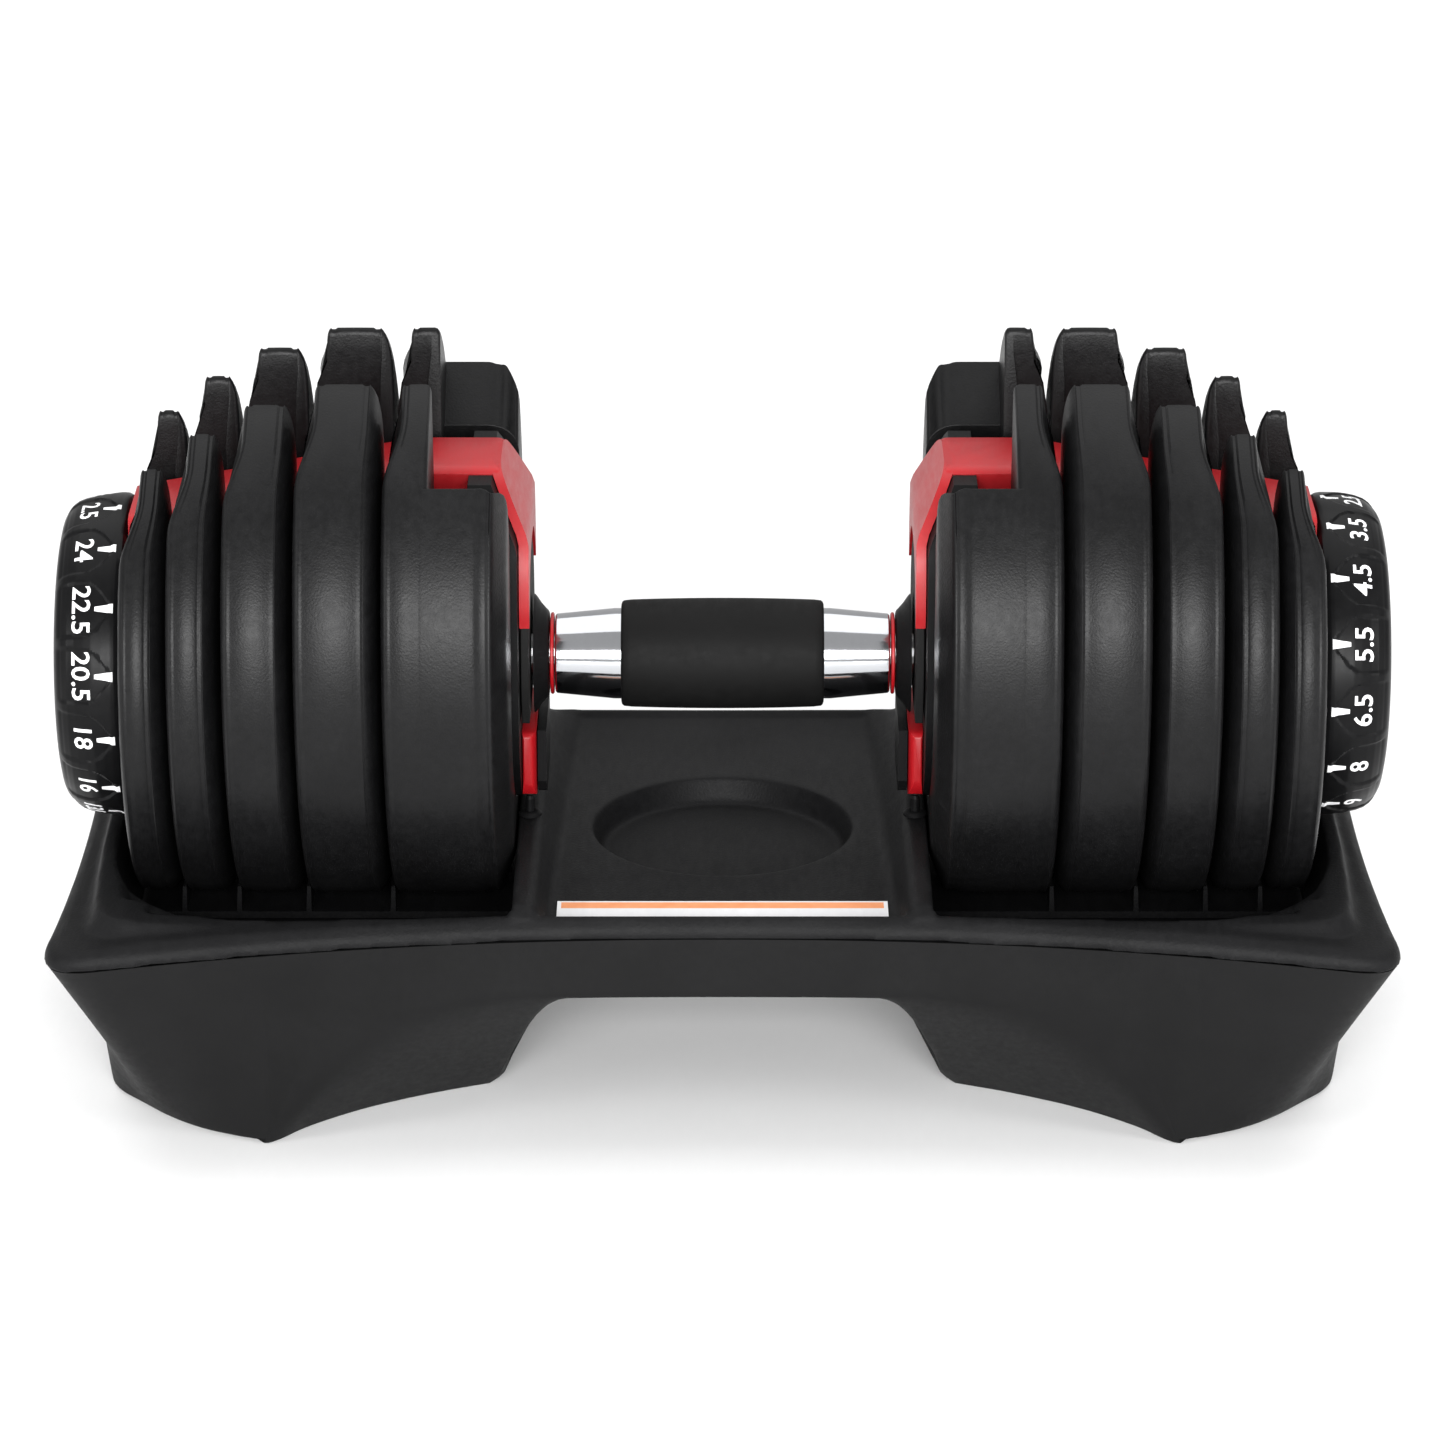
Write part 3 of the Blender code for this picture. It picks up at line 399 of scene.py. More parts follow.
def plate_ring(side, x, radius, inset, slot_r, cut_h=None, span=None):
    """Outline of a slotted round plate at x, in mm. The rim ends at the slot's mouth, or level at cut_h.

    With a span of (x near, x far) the plate thins towards the tips of its horns.
    """
    centre = PLATE_FOOT_H + radius
    reach = radius - inset
    slot = [(slot_r * cos(pi * i / 28), -slot_r * sin(pi * i / 28)) for i in range(29)]
    if cut_h is None:
        start = asin(SLOT_R / reach)
        tip = centre + reach * cos(start)
        flank = [(SLOT_R + y, tip - drop) for y, drop in ((1.5, 0.42), (0.7, 0.8), (0.2, 1.5), (0.0, 2.5))]
        flank += [(SLOT_R + (slot_r - SLOT_R) * i / 12, tip * (1 - i / 12)) for i in range(1, 12)]
        slot = flank + slot + [(-y, h) for y, h in flank[::-1]]
        start += 2.6 / reach
    else:
        start = atan2(sqrt(reach ** 2 - (cut_h - centre) ** 2), cut_h - centre)
        tip = cut_h
        slot = [(slot_r, cut_h - COLLAR_SLOPE)] + slot + [(-slot_r, cut_h - COLLAR_SLOPE)]
    for i in range(161):
        angle = -start - (tau - 2 * start) * i / 160
        slot.append((reach * sin(angle), centre + reach * cos(angle)))
    ring = []
    for y, h in slot:
        across = x
        if span:
            share = min(max((h - tip + TIP_RISE) / (TIP_RISE - 6), 0.0), 1.0)
            share *= share * (3 - 2 * share)
            across = span[0] + (x - span[0]) * (1 - TIP_TAPER * share / (span[1] - span[0]))
        ring.append((side * across * MM, y * MM, AXIS + h * MM))
    return ring


def rim_profile(x0, x1, chamfer, inner_chamfer):
    """(x, inset) steps over a rim: inner chamfer, thin ridge, groove, broad band, tight outer edge."""
    flat = x1 - x0 - (chamfer if inner_chamfer else 0)
    size = min(1.0, flat / 14)
    if inner_chamfer:
        near = [(x0, CHAMFER_RISE), (x0 + chamfer * 0.08, 9.6), (x0 + chamfer * 0.22, 6.4),
                (x0 + chamfer * 0.42, 3.7),
                (x0 + chamfer * 0.68, 1.8), (x0 + chamfer * 0.88, 0.85), (x0 + chamfer - 0.1, 0.5),
                (x0 + chamfer + 0.3, 0.15), (x0 + chamfer + 0.75, 0.5),
                (x0 + chamfer + 0.9 + 1.2 * size, 0.55),
                (x0 + chamfer + 1.2 + 1.9 * size, 0.04)]
    else:
        near = [(x0, 2.0), (x0 + 0.4, 0.9), (x0 + 1.2, 0.25), (x0 + 2.4, 0.0)]
    far = [(x1, 3.2), (x1 - 0.25, 1.9), (x1 - 0.7, 0.9), (x1 - 1.1, 0.42), (x1 - 1.5, 0.2), (x1 - 2.0, 0.5),
           (x1 - 2.1 - 1.0 * size, 0.5), (x1 - 2.5 - 1.6 * size, 0.04)]
    middle = (near[-1][0] + far[-1][0]) / 2
    return near + [(middle, 0.0)] + far[::-1]


def make_plate(word, side, index):
    node = f"plate_{index + 1}_{word}"
    low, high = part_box(node)
    x0, x1 = sorted((abs(low.x) / MM, abs(high.x) / MM))
    if index == 0:
        x0 = COLLAR_X[1]
    radius = PLATE_RADII[index]
    web_end = x0 + WEB
    rings = []
    profile = rim_profile(x0, x1, PLATE_CHAMFERS[index], index > 0)
    split = False
    for x, inset in profile:
        if x > web_end and not split:
            level = height_at(profile, web_end)
            rings.append(plate_ring(side, web_end, radius, level, WEB_SLOT_R, span=(x0, x1)))
            rings.append(plate_ring(side, web_end + 0.05, radius, level, SLOT_R, span=(x0, x1)))
            split = True
        rings.append(plate_ring(side, x, radius, inset, SLOT_R if split else WEB_SLOT_R, span=(x0, x1)))
    plate = raw(node if index else node + "_outer", loft(rings))
    show(plate, "coated_iron", node, bevel=0.7 * MM)
    if index == 0:
        make_collar(word, side, radius)


def make_collar(word, side, radius):
    """Broad inner rim of the first plate, open round the bell's housing."""
    x0, x1 = COLLAR_X
    levels = [(x0, 13, -9.6), (x0 + 0.4, 11.2, -6.6), (x0 + 1.1, 9.2, -4.7), (x0 + 2.1, 6.4, -3.2),
              (x0 + 3.0, 3.9, -2.3), (x0 + 3.6, 2.4, -1.8), (x0 + 4.1, 1.2, -1.45), (x0 + 4.6, 0.6, -1.2),
              (x0 + 5.2, 0.55, -0.9), (x0 + 5.9, 1.0, -0.65), (x0 + 7.6, 1.0, -0.25), (x0 + 8.6, 0.4, -0.1),
              (x0 + 9.6, 0.05, -0.02), (x0 + 11.5, 0.0, 0.0), (x0 + 16, 0.0, 0.0), (x1 + 1.0, 0.0, 0.0),
              (x1 + 2.6, 0.12, 0.0), (x1 + 4.5, 0.6, 0.0)]
    rings = [plate_ring(side, x, radius, inset, COLLAR_SLOT_R, COLLAR_TOP_H + drop)
             for x, inset, drop in levels]
    collar = raw(f"plate_1_collar_{word}", loft(rings))
    show(collar, "coated_iron", body=BODY_OF[f"plate_1_{word}"], bevel=0.6 * MM)


# ---------------------------------------------------------------- dials

DIAL_R = 49.3
SETTINGS_KG = ["2.5", "3.5", "4.5", "5.5", "6.5", "8", "9", "10", "11.5", "13.5", "16", "18", "20.5",
               "22.5", "24"]
FIRST_MARK = {"left": 6.0, "right": -5.4}
PITCH = 360.0 / len(SETTINGS_KG)
TICK_X = (181.5, 187.0)
NUMBER_X = (188.3, 193.9)
BARREL = [(179.0, 3.2), (179.3, 2.0), (179.9, 0.9), (181, 0.25), (182.4, 0.0), (185, 0.0), (188, 0.1),
          (190.5, 0.45),
          (193, 1.0), (195.4, 1.9), (197.2, 3.2), (198.5, 4.8), (199.5, 6.8), (200, 9.0)]


def scallop(x, turn):
    """Depth in mm of the shield-shaped hollow round each number; turn is in pitches from the nearest mark."""
    along = abs(turn)
    reach = height_at([(182.6, 0.10), (184.2, 0.19), (186.4, 0.33), (188.6, 0.405), (191, 0.425),
                       (197, 0.43)], x)
    edge = (reach - along) * DIAL_R * radians(PITCH)
    tip = x - 182.4
    face = (198.6 - x) * 0.6
    share = min(max(min(edge, tip, face) / 0.5, 0.0), 1.0)
    return 0.55 * share * share * (3 - 2 * share)


def barrel_radius(x, angle, first):
    """Radius in mm of the dial's outside at x and at an angle in degrees from the top towards the front."""
    turn = ((angle - first) / PITCH + 0.5) % 1.0 - 0.5
    return DIAL_R - height_at(BARREL, x) - scallop(x, turn)


def on_dial(side, x, angle, radius):
    turn = radians(angle)
    return (side * x * MM, -radius * MM * sin(turn), AXIS + radius * MM * cos(turn))


def make_dial(word, side):
    first = FIRST_MARK[word]
    stations = [x for x, drop in BARREL[:4]] + [181.4 + 0.4 * i for i in range(43)] + [199, 199.5, 200]
    face = [(198.6, 37.8), (197.9, 36.6), (197.7, 34), (197, 13.6), (196.6, 12.2), (193.6, 12.2),
            (193.6, 9.8)]
    cup = [(181, 9.8), (181, 14), (193.2, 14.6), (193.2, 39.8), (179, 44.3)]
    columns = len(SETTINGS_KG) * 36
    rings = []
    for i in range(columns):
        angle = 360.0 * i / columns
        ring = [on_dial(side, x, angle, barrel_radius(x, angle, first)) for x in stations]
        rings.append(ring + [on_dial(side, x, angle, r) for x, r in face + cup])
    show(raw(f"dial_{word}", loft(rings, closed=True)), "dial_black", f"dial_{word}", angle=28.0)
    make_marks(word, side, first)


def glyph_mesh(text):
    """Flat mesh of a number, one unit tall, in fine triangles."""
    curve = bpy.data.curves.new("glyph", "FONT")
    curve.body = text
    curve.offset = 0.012
    curve.resolution_u = 3
    holder = bpy.data.objects.new("glyph", curve)
    bpy.context.scene.collection.objects.link(holder)
    graph = bpy.context.evaluated_depsgraph_get()
    mesh = bpy.data.meshes.new_from_object(holder.evaluated_get(graph))
    bpy.data.objects.remove(holder)
    work = bmesh.new()
    work.from_mesh(mesh)
    bmesh.ops.remove_doubles(work, verts=work.verts, dist=1e-4)
    bmesh.ops.triangulate(work, faces=work.faces)
    for _ in range(3):
        long = [edge for edge in work.edges if edge.calc_length() > 0.22]
        bmesh.ops.subdivide_edges(work, edges=long, cuts=1)
        bmesh.ops.triangulate(work, faces=work.faces)
    low = min(v.co.x for v in work.verts)
    high = max(v.co.x for v in work.verts)
    top = max(v.co.y for v in work.verts)
    base = min(v.co.y for v in work.verts)
    scale = 1 / (top - base)
    points = [((v.co.x - (low + high) / 2) * scale, (v.co.y - base) * scale) for v in work.verts]
    faces = [tuple(v.index for v in face.verts) for face in work.faces]
    work.free()
    return points, faces


def make_marks(word, side, first):
    """White numbers and wedge-shaped ticks round a dial, the number's top towards the plates."""
    points = []
    faces = []

    def add(flat, some_faces):
        base = len(points)
        for x, angle in flat:
            points.append(on_dial(side, x, angle, barrel_radius(x, angle, first) + 0.07))
        faces.extend(tuple(base + i for i in face) for face in some_faces)

    arc = 180 / (pi * DIAL_R)
    tall = NUMBER_X[1] - NUMBER_X[0]
    for i, text in enumerate(SETTINGS_KG):
        centre = first + side * PITCH * i
        glyphs, glyph_faces = glyph_mesh(text)
        add([(NUMBER_X[1] - v * tall, centre - side * u * tall * arc * 1.18) for u, v in glyphs], glyph_faces)
        wedge = []
        for step in range(7):
            share = step / 6
            x = TICK_X[0] + (TICK_X[1] - TICK_X[0]) * share
            half = (1.5 - 0.85 * share) * arc
            wedge += [(x, centre - half), (x, centre), (x, centre + half)]
        wedge_faces = [(a, a + 1, a + 4, a + 3) for step in range(6) for a in (step * 3, step * 3 + 1)]
        add(wedge, wedge_faces)
    marks = raw(f"dial_marks_{word}", (points, faces))
    thick = marks.modifiers.new("ink", "SOLIDIFY")
    thick.thickness = 0.1 * MM
    bake(marks)
    show(marks, "dial_print", body=BODY_OF[f"dial_{word}"])


# ---------------------------------------------------------------- handle and bell frame

GRIP_HALF = 30.9
TUBE_HALF = 51.0
HOUSING_X = 76.0
FRAME_THICKNESS = 3.0
FRAME_LEAN = [(45.0, 57.8), (48.0, 58.6), (65.0, 66.6)]


def make_grip():
    outer = [(-GRIP_HALF, 14.2), (-GRIP_HALF, 15.0), (-GRIP_HALF + 0.25, 15.7), (-GRIP_HALF + 0.8, 16.15)]
    outer += [(x * GRIP_HALF / 10, 16.9 - 0.6 * (x / 10) ** 2) for x in range(-9, 10)]
    outer += [(-x, r) for x, r in outer[3::-1]]
    show(raw("handle_grip", turned(1, outer)), "grip_rubber", "handle_grip")
    tube = [(-TUBE_HALF, 6.4), (-TUBE_HALF, 11.7), (-TUBE_HALF + 0.5, 12.2), (-GRIP_HALF - 2, 13.9),
            (GRIP_HALF + 2, 13.9), (TUBE_HALF - 0.5, 12.2), (TUBE_HALF, 11.7), (TUBE_HALF, 6.4)]
    show(raw("handle_tube", turned(1, tube, 128)), "chrome_tube", "handle_tube")


def make_hub(word, side):
    ring = [(51.4, 6.4), (51.4, 12.1), (51.7, 12.5), (52.2, 12.5), (52.5, 12.1), (52.5, 6.4)]
    show(raw(f"hub_ring_{word}", turned(side, ring)), "red_plastic", f"hub_ring_{word}")
    cone = [(52.9, 6.4), (52.9, 12.6), (53.2, 13.2), (53.9, 13.9), (55.3, 15.5), (56.6, 17.4), (57.1, 18.0),
            (57.4, 18.2), (57.4, 6.4)]
    show(raw(f"hub_cone_{word}", turned(side, cone)), "black_nylon", f"hub_cone_{word}")


def frame_x(h):
    """Face of the leaning bell frame at height h."""
    return height_at(FRAME_LEAN, h)


def arch_band(side):
    """Outline of the red band round the top of the bell's inner end, from one pointed foot to the other."""
    outer = eased([(33.0, 20.0), (34.0, 27.0), (32.0, 40.0), (26.0, 52.0), (19.0, 61.5), (12.0, 64.6),
                   (4, 65)], 5)
    inner = eased([(32.4, 20.2), (28.5, 25.0), (24.0, 30.0), (18.0, 34.5), (11.0, 37.2), (6.0, 38.0),
                   (2, 38.2)], 5)
    outline = outer + [(-y, h) for y, h in outer[::-1]] + [(-y, h) for y, h in inner] + inner[::-1]
    return loft([[(side * x * MM, y * MM, AXIS + h * MM) for y, h in outline] for x in (50, 80)])


def bridge_body(side):
    """Red beam over the discs, level at first and then sloping down to the outer flange."""
    rings = []
    half = 16.2
    for x, top, chamfer in ((66.4, 64.0, 2.0), (67.4, 64.8, 2.7), (69, 65.0, 3.0), (90, 65.0, 3.0),
                            (94, 64.8, 3.0),
                            (176.8, 50.0, 3.0), (178.6, 49.4, 3.0)):
        outline = [(-half, top - 11), (half, top - 11), (half, top - 1.8), (half - chamfer * 0.3, top - 0.8),
                   (half - chamfer, top), (-half + chamfer, top), (-half + chamfer * 0.3, top - 0.8),
                   (-half, top - 1.8)]
        rings.append([(side * x * MM, y * MM, AXIS + h * MM) for y, h in outline])
    return loft(rings)


def flange_plate(side):
    arc = [(16.2 * cos(pi * i / 24), -16.2 * sin(pi * i / 24)) for i in range(25)]
    outline = [(16.2, 42)] + arc + [(-16.2, 42)]
    return loft([[(side * x * MM, y * MM, AXIS + h * MM) for y, h in outline] for x in (176.6, 178.6)])


def standing_plate(side, shape, near_gap, far, steps=4):
    """Upright plate through (h, half width) levels behind the leaning face.

    far is the x of its back, or its thickness if under 20; steps smooths the levels, and 1 keeps them.
    """
    rings = []
    for h, half in eased(shape, steps):
        near = frame_x(h) + near_gap
        back = far if far > 20 else near + far
        rings.append([(side * near * MM, -half * MM, AXIS + h * MM),
                      (side * near * MM, half * MM, AXIS + h * MM),
                      (side * back * MM, half * MM, AXIS + h * MM),
                      (side * back * MM, -half * MM, AXIS + h * MM)])
    return loft(rings)


def make_bell(word, side):
    frame_piece = raw(f"bell_frame_{word}", arch_band(side))
    slab = [(h, 60) for h in (10, 45, 48, 65, 75)]
    combine(frame_piece, standing_plate(side, slab, 0.0, FRAME_THICKNESS, 1), "INTERSECT")
    combine(frame_piece, bridge_body(side), "UNION")
    show(frame_piece, "red_plastic", f"bell_frame_{word}", bevel=0.5 * MM)
    flange = raw(f"bell_flange_{word}", flange_plate(side))
    combine(flange, rod(side, 170, 185, 9.9), "DIFFERENCE")
    show(flange, "black_nylon", body="handle", bevel=0.4 * MM)

    bore = rod(side, 50, 90, 6.4)
    insert = raw(f"end_insert_{word}", standing_plate(
        side, [(-13.5, 25), (0, 29), (14, 29), (22, 26.5), (28, 21), (33, 13)], 0.5, 2.4))
    combine(insert, bore, "DIFFERENCE")
    show(insert, "textured_black", f"end_insert_{word}", bevel=0.4 * MM)

    housing = raw(f"bell_housing_{word}", standing_plate(
        side, [(-42, 12), (-38, 20), (-30, 30), (-18, 38), (-4, 41.5), (20, 41.5), (38, 40), (46, 38),
               (52, 35), (60, 29), (63, 26)],
        FRAME_THICKNESS + 0.3, HOUSING_X))
    combine(housing, bore, "DIFFERENCE")
    notch = block((min(side * 50, side * 90) * MM, -16.7 * MM, AXIS + 53 * MM),
                  (max(side * 50, side * 90) * MM, 16.7 * MM, AXIS + 90 * MM))
    combine(housing, notch, "DIFFERENCE")
    show(housing, "black_nylon", f"bell_housing_{word}", bevel=0.8 * MM)


# ---------------------------------------------------------------- cradle

END_X = 196.5
CORNER_X = 201.0
FRONT_Y = 88.5
CORNER_Y = 107.0
SEAM_Z = 72.6
SEAM_DROP = 4.6
RIM_TOP_Z = 79.0
DECK_Z = 73.3
LEDGE_Z = 83.0
LEDGE_FOOT_Z = 74.0
WELL_FLOOR_Z = 55.2
WELL_WALL = 1.8
SHELL = 3.0
RECESS_R = 40.3
RECESS_FLOOR_R = 37.0
RECESS_DEPTH = 8.0
ARCH_Z = 52.6


def cradle_quarter(inset=0.0):
    """Plan of the cradle from the middle of one long side to the middle of an end, as (x, y)."""
    quarter = []
    for i in range(97):
        x = 0.91 * CORNER_X * i / 96
        quarter.append((x, FRONT_Y + (CORNER_Y - FRONT_Y) * (x / CORNER_X) ** 2.2 - inset))
    start = Vector(quarter[-1])
    end = Vector((END_X + (CORNER_X - END_X) * 0.7 - inset, 0.8 * CORNER_Y))
    corner = Vector((CORNER_X + 1.5 - inset, CORNER_Y + 0.5 - inset))
    for i in range(1, 18):
        t = i / 18
        quarter.append(tuple(start * (1 - t) ** 2 + corner * 2 * t * (1 - t) + end * t ** 2))
    for i in range(19):
        y = 0.8 * CORNER_Y * (1 - i / 18)
        quarter.append((END_X + (end.x + inset - END_X) * (y / end.y) ** 2 - inset, y))
    return quarter


def all_round(quarter):
    """Quarter of a closed run, mirrored to the other three; each item is a list of (x, y, ...) points."""
    def mirrored(sx, sy, run):
        return [[(sx * point[0], sy * point[1], *point[2:]) for point in item] for item in run]

    return (quarter + mirrored(1, -1, quarter[-2::-1]) + mirrored(-1, -1, quarter[1:])
            + mirrored(-1, 1, quarter[-2:0:-1]))


def in_mm(rings):
    return [[tuple(value * MM for value in point) for point in ring] for ring in rings]


def seam_z(x):
    return SEAM_Z - SEAM_DROP * (x / CORNER_X) ** 2


def well_outline(side, wall=0.0, draw=0.0):
    """Plan of a well; draw, from 0 to 1, is how far down the tapered sides."""
    corner = eased([(184, 0), (184, 22), (183, 42), (180, 57), (174.5, 67), (168, 75), (158, 83), (146, 87),
                    (122, 87), (100, 86.6)], 4)
    half = [point for point in corner if point[1] > 1] + [(62.3, 84.4)]
    points = []
    for x, y in half:
        outer = x > 100
        edge_x = x - (5 * draw if outer else 0) + (wall if outer else -wall if x < 100 else 0)
        points.append((side * edge_x, y * (1 - 0.18 * draw) + wall))
    return points + [(x, -y) for x, y in points[::-1]]


def rim_ring():
    """The cradle's lip, its sloping flange and the soft step up to the crest round the wells."""
    rings = []
    for x, y in cradle_quarter():
        across = x / CORNER_X
        along = min(y / CORNER_Y, 1.0)
        bend = max(0.0, across - 0.72) / 0.28
        edge_x = min(x, 183 - 14 * along ** 2)
        edge_y = min(y, 84 - 12 * bend ** 2)
        seam = seam_z(x)
        crest = RIM_TOP_Z + 0.5 * min(across, 1.0) ** 4
        step = min(1.0, bend * 1.4)
        flange = seam + 5.6
        rise = crest - flange
        profile = [(0.0, 0.0, seam), (0.3, 0.0, seam + 2.2), (0.9, 0.01, seam + 3.9), (2.0, 0.02, seam + 5.0)]
        for share in (0.12, 0.24, 0.34, 0.4, 0.46, 0.52, 0.58, 0.7, 0.8, 0.9):
            plain = share ** 0.8
            stepped = 0.3 * share if share < 0.4 else min(1.0, 0.12 + (share - 0.4) * 7)
            profile.append((2.0 * (1 - share), share, flange + rise * (plain + (stepped - plain) * step)))
        profile += [(0, 1.0, crest - 1.2), (0, 1.0, crest - 4), (0, 0.35, seam + 1.2), (0, 0.2, seam)]
        reach = max(sqrt((edge_x - x) ** 2 + (edge_y - y) ** 2), 0.5)
        ring = []
        for inward, share, z in profile:
            part = min(1.0, share + inward / reach)
            ring.append((x + (edge_x - x) * part, y + (edge_y - y) * part, z))
        rings.append(ring)
    return loft(in_mm(all_round(rings)), closed=True)


def deck_body():
    """Dished deck between the wells, with a ramp and a ledge along each of them."""
    stations = eased([(-86.5, 4.2, 3.6), (-83.4, 1.0, 2.4), (-80.5, 0, 1.6), (-60, 0, 0.4), (-30, 0, 0.1),
                      (0, 0, 0),
                      (30, 0, 0.1), (60, 0.2, 0.4), (73, 1.3, 1.0), (81, 2.7, 1.8), (86.5, 4.4, 3.6)], 4)
    rings = []
    for y, lift, drop in stations:
        foot_x = 47.8 - 2.7 * y / 86.5
        deck_z = DECK_Z + max(lift, 0)
        ledge_z = LEDGE_Z - drop
        top = [(63, ledge_z), (57.6, ledge_z), (56.4, ledge_z - 0.3), (55.4, ledge_z - 1.0),
               (foot_x + 2.2, deck_z + 1.3), (foot_x + 1.2, deck_z + 0.4), (foot_x - 0.6, deck_z)]
        top += [(-x, z) for x, z in top[::-1]]
        under = [(x, LEDGE_FOOT_Z if abs(x) > 57 else z - SHELL) for x, z in top[::-1]]
        rings.append([(x, y, z) for x, z in top + under])
    return loft(in_mm(rings))


def well_box(side):
    return loft(in_mm([[(x, y, WELL_FLOOR_Z - SHELL) for x, y in well_outline(side, WELL_WALL, 1.0)],
                       [(x, y, RIM_TOP_Z - 2.4) for x, y in well_outline(side, WELL_WALL)]]))


def well_cut(side):
    return loft(in_mm([[(x, y, WELL_FLOOR_Z) for x, y in well_outline(side, 0.0, 1.0)],
                       [(x, y, RIM_TOP_Z) for x, y in well_outline(side)],
                       [(x, y, 120) for x, y in well_outline(side)]]))


def make_top_shell():
    shell = raw("tray_top_shell", rim_ring())
    combine(shell, deck_body(), "UNION")
    combine(shell, post(0, 0, [(DECK_Z - RECESS_DEPTH - SHELL, RECESS_FLOOR_R + 3),
                               (DECK_Z - 1, RECESS_R + 3)], 96),
            "UNION")
    for side in SIDES.values():
        combine(shell, well_box(side), "UNION")
    for side in SIDES.values():
        combine(shell, well_cut(side), "DIFFERENCE")
    combine(shell, post(0, 0, [(DECK_Z - RECESS_DEPTH, RECESS_FLOOR_R), (DECK_Z, RECESS_R),
                               (DECK_Z + 4, RECESS_R + 1.5)], 96), "DIFFERENCE")
    melt = shell.modifiers.new("melt", "REMESH")
    melt.mode = "VOXEL"
    melt.voxel_size = 0.9 * MM
    relax = shell.modifiers.new("relax", "SMOOTH")
    relax.factor = 0.5
    relax.iterations = 5
    bake(shell)
    for side in SIDES.values():
        low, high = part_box("lock_post_left" if side < 0 else "lock_post_right")
        x, y = (low.x + high.x) / 2 / MM, (low.y + high.y) / 2 / MM
        combine(shell, post(x, y, [(70, 1.8), (95, 1.8)]), "DIFFERENCE")
    show(shell, "tray_black", "tray_top_shell", angle=60)


def curve_at(points, share):
    place = share * (len(points) - 1)
    i = min(int(place), len(points) - 2)
    t = place - i
    return tuple(a + (b - a) * t for a, b in zip(points[i], points[i + 1]))


def skirt_quarter():
    """Upright sections of the skirt, from the middle of a long side to the middle of an end."""
    outer = eased([(138.5, 76.0), (147, 72.5), (158, 67), (168.5, 58.5), (178, 48), (184.5, 40.5),
                   (188, 34)], 4)
    inner = eased([(70, 32), (89, 40), (109, 51), (125, 63.5), (133, 72.5), (136.5, 75.6), (138.5, 76.0)], 5)
    crest = eased([(40, 52.6), (50, 52.4), (60, 51.8), (70, 50.4), (82, 48.2), (101, 42.8), (116, 37),
                   (123, 31.6), (128, 24.8),
                   (133, 14), (136.6, 4), (138.5, 0.5)], 4)
    cheek = eased([(0, ARCH_Z), (0.2, 51.2), (0.42, 46), (0.66, 30), (0.86, 12), (1.0, 0.5)], 5)
    tip_x = outer[0][0]
    sections = []
    for x, y in cradle_quarter(0.8):
        top = (x, y, seam_z(x) - 0.3)
        soft = 0.08
        if x <= 40:
            crease = (x, y - 2, ARCH_Z)
            foot = (x, y - 7, ARCH_Z)
        elif x < tip_x:
            share = (x - 40) / (tip_x - 40)
            crease = (x, y - 2 - (y - 78) * share ** 2.4, height_at(crest, x))
            under = min(share / 0.16, 1.0)
            foot_x, foot_y = curve_at(inner, max(0.0, (share - 0.16) / 0.84))
            foot_x = 40 + (foot_x - 40) * under ** 0.85
            foot_y = y - 7 + (foot_y - y + 7) * under ** 1.6
            foot = (foot_x, foot_y, height_at(cheek, under))
            soft = 0.08 + 0.12 * share
        else:
            share = 1 - min(1.0, max(0.0, atan2(y, x - tip_x * 0.6) / atan2(1.0, 0.42)))
            crease_x, crease_y = curve_at(outer, min(1.0, share * 1.35))
            crease = (crease_x, min(crease_y, y) if y >= outer[-1][1] else y, 1)
            foot = (crease[0] - 3, crease[1] * 0.95, 1)
        sections.append(skirt_section(top, crease, foot, soft))
    return sections


def skirt_section(top, crease, foot, soft):
    """Closed ring down the outside of the wall, round the crease, under to the foot and back up inside."""
    a, b, c = Vector(top), Vector(crease), Vector(foot)
    before = b + (a - b) * soft
    after = b + (c - b) * min(0.4, soft * 2)
    ring = [a.lerp(before, i / 8) for i in range(8)]
    for i in range(7):
        t = i / 6
        ring.append(before * (1 - t) ** 2 + b * 2 * t * (1 - t) + after * t ** 2)
    ring += [after.lerp(c, i / 6) for i in range(1, 7)]

    def inward(point, amount, lift=0.0):
        flat = Vector((point.x, point.y))
        flat *= 1 - amount / max(flat.length, 1)
        return Vector((flat.x, flat.y, point.z + lift))

    wall = 2.2
    ring += [inward(c, wall, 1.5), inward(b, wall * 1.6, 3), inward(a, wall)]
    return [tuple(point) for point in ring]


def make_skirt():
    skirt = raw("tray_base", loft(in_mm(all_round(skirt_quarter())), closed=True))
    show(skirt, "skirt_black", "tray_base", angle=40)


# ---------------------------------------------------------------- small carried-over parts

CARRIED = {"deck_label": "label_print", "rubber_foot": "foot_rubber", "plate_rack": "tray_black",
           "lock_cover": "black_nylon", "lock_post": "black_nylon",
           "selector_disc": "black_nylon", "dial_cap": "dial_black"}


def make_post_boss(word):
    """Low collar that the lock's post stands in on the ledge."""
    low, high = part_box(f"lock_post_{word}")
    profile = [(0.3, 1.6), (0.3, 3.6), (0.8, 3.6), (1.5, 3.0), (1.7, 2.6), (1.7, 1.6)]
    rings = []
    for lift, radius in profile:
        rings.append([((low.x + high.x) / 2 + radius * MM * cos(tau * i / 32),
                       (low.y + high.y) / 2 + radius * MM * sin(tau * i / 32),
                       (LEDGE_Z + lift) * MM) for i in range(32)])
    show(raw(f"post_boss_{word}", loft(rings, closed=True)), "black_nylon", body="cradle")


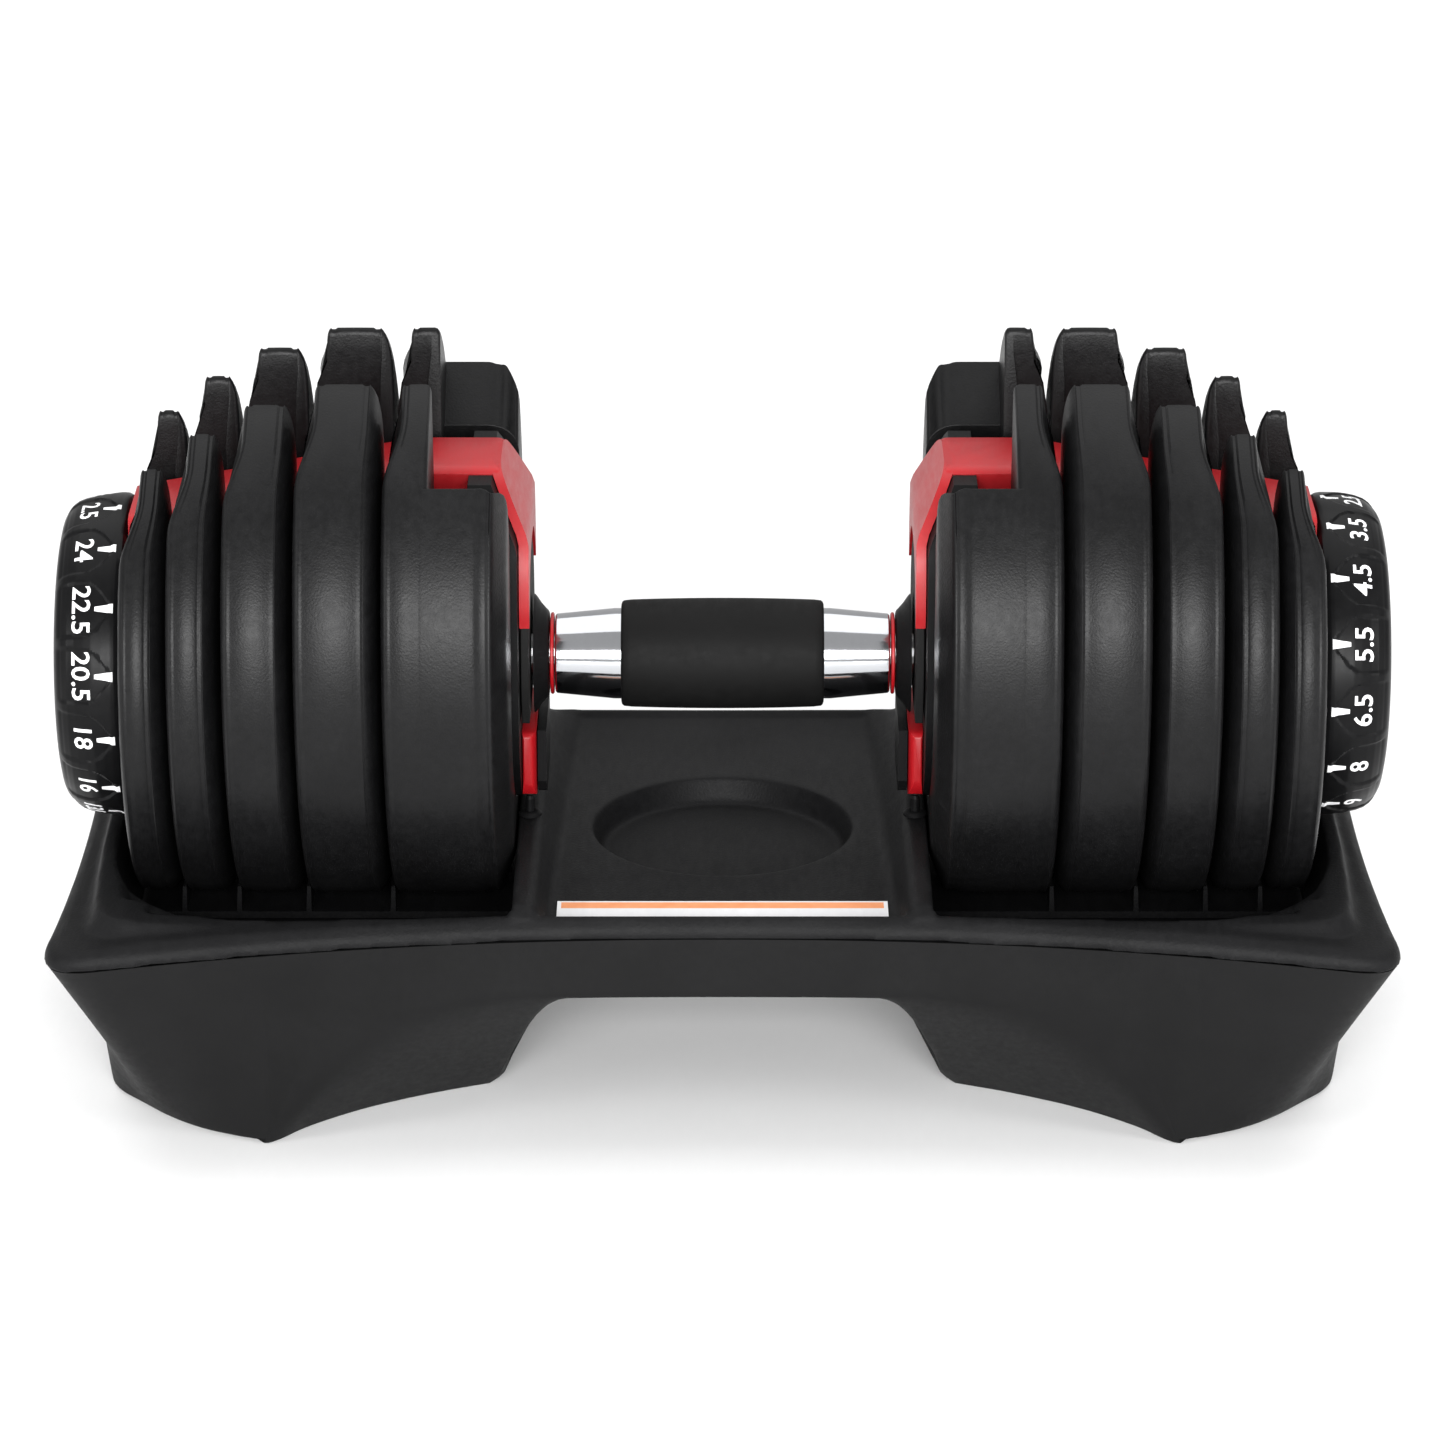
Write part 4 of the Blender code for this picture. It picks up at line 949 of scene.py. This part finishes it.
def make_lock_housing(word, side):
    """Red tab with a rounded foot and edges, bored for the lock's pin and spring."""
    node = f"lock_housing_{word}"
    low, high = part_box(node)
    foot, top = low.z / MM, high.z / MM
    edge = [(21.0, 58.7, 60.3, 6.5, 1.6), (20.7, 58.0, 60.7, 4.6, 0.9), (20.0, 57.3, 60.9, 2.6, 0.3),
            (18.8, 56.8, 61.0, 1.1, 0.0), (16.5, 56.6, 61.0, 0.3, 0.0), (12.0, 56.6, 61.0, 0.0, 0.0)]
    rings = []
    for y, x0, x1, lift, drop in edge + [(-y, *rest) for y, *rest in edge[::-1]]:
        corners = ((x0, foot + lift), (x1, foot + lift), (x1, top - drop), (x0, top - drop))
        rings.append([(side * x * MM, y * MM, z * MM) for x, z in corners])
    tab = raw(node, loft(rings))
    pin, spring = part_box(f"lock_pin_{word}"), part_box(f"lock_spring_{word}")
    x, y = ((pin[0] + pin[1]) / 2 / MM).xy
    combine(tab, post(x, y, [(foot - 5, 1.85), (spring[1].z / MM + 0.3, 1.85)]), "DIFFERENCE")
    show(tab, "red_plastic", node, bevel=0.4 * MM)


def make_spring(word):
    """Coil over the lock pin in six even turns, kept at full length, though the real one shortens towards its
    upper end as the pin is pressed.
    """
    low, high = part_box(f"lock_spring_{word}")
    wire_r = 0.2 * MM
    radius = (high.x - low.x) / 2 - wire_r
    rings = []
    for i in range(6 * 20 + 1):
        turn = tau * i / 20
        z = low.z + wire_r + (high.z - low.z - 2 * wire_r) * i / 120
        ring = []
        for j in range(8):
            reach = radius + wire_r * cos(tau * j / 8)
            ring.append(((low.x + high.x) / 2 + reach * cos(turn), (low.y + high.y) / 2 + reach * sin(turn),
                         z + wire_r * sin(tau * j / 8)))
        rings.append(ring)
    spring = show(raw(f"lock_spring_{word}", loft(rings)), "bare_steel", f"lock_spring_{word}")
    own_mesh(spring)


def dress_nodes():
    """Gives each CAD node that is still shown its finish."""
    for name, obj in frame["nodes"].items():
        if obj.hide_render:
            continue
        slot = next((slot for stem, slot in CARRIED.items() if name.startswith(stem)), "bare_steel")
        obj.data.materials.clear()
        obj.data.materials.append(finishes[slot])


def add_floor():
    floor = raw("floor", ([(-9, -9, 0), (9, -9, 0), (9, 9, 0), (-9, 9, 0)], [(0, 1, 2, 3)]))
    floor.data.materials.append(finish("floor_paper", (0.86, 0.86, 0.86), 0.9, grain_size=3, depth=0.02,
                                       variation=0.01))


add_camera()
add_lights()
finishes = make_finishes()
for word, side in SIDES.items():
    for index in range(5):
        make_plate(word, side, index)
    make_dial(word, side)
    make_hub(word, side)
    make_bell(word, side)
    make_lock_housing(word, side)
    make_spring(word)
    make_post_boss(word)
make_grip()
make_top_shell()
make_skirt()
dress_nodes()
add_floor()
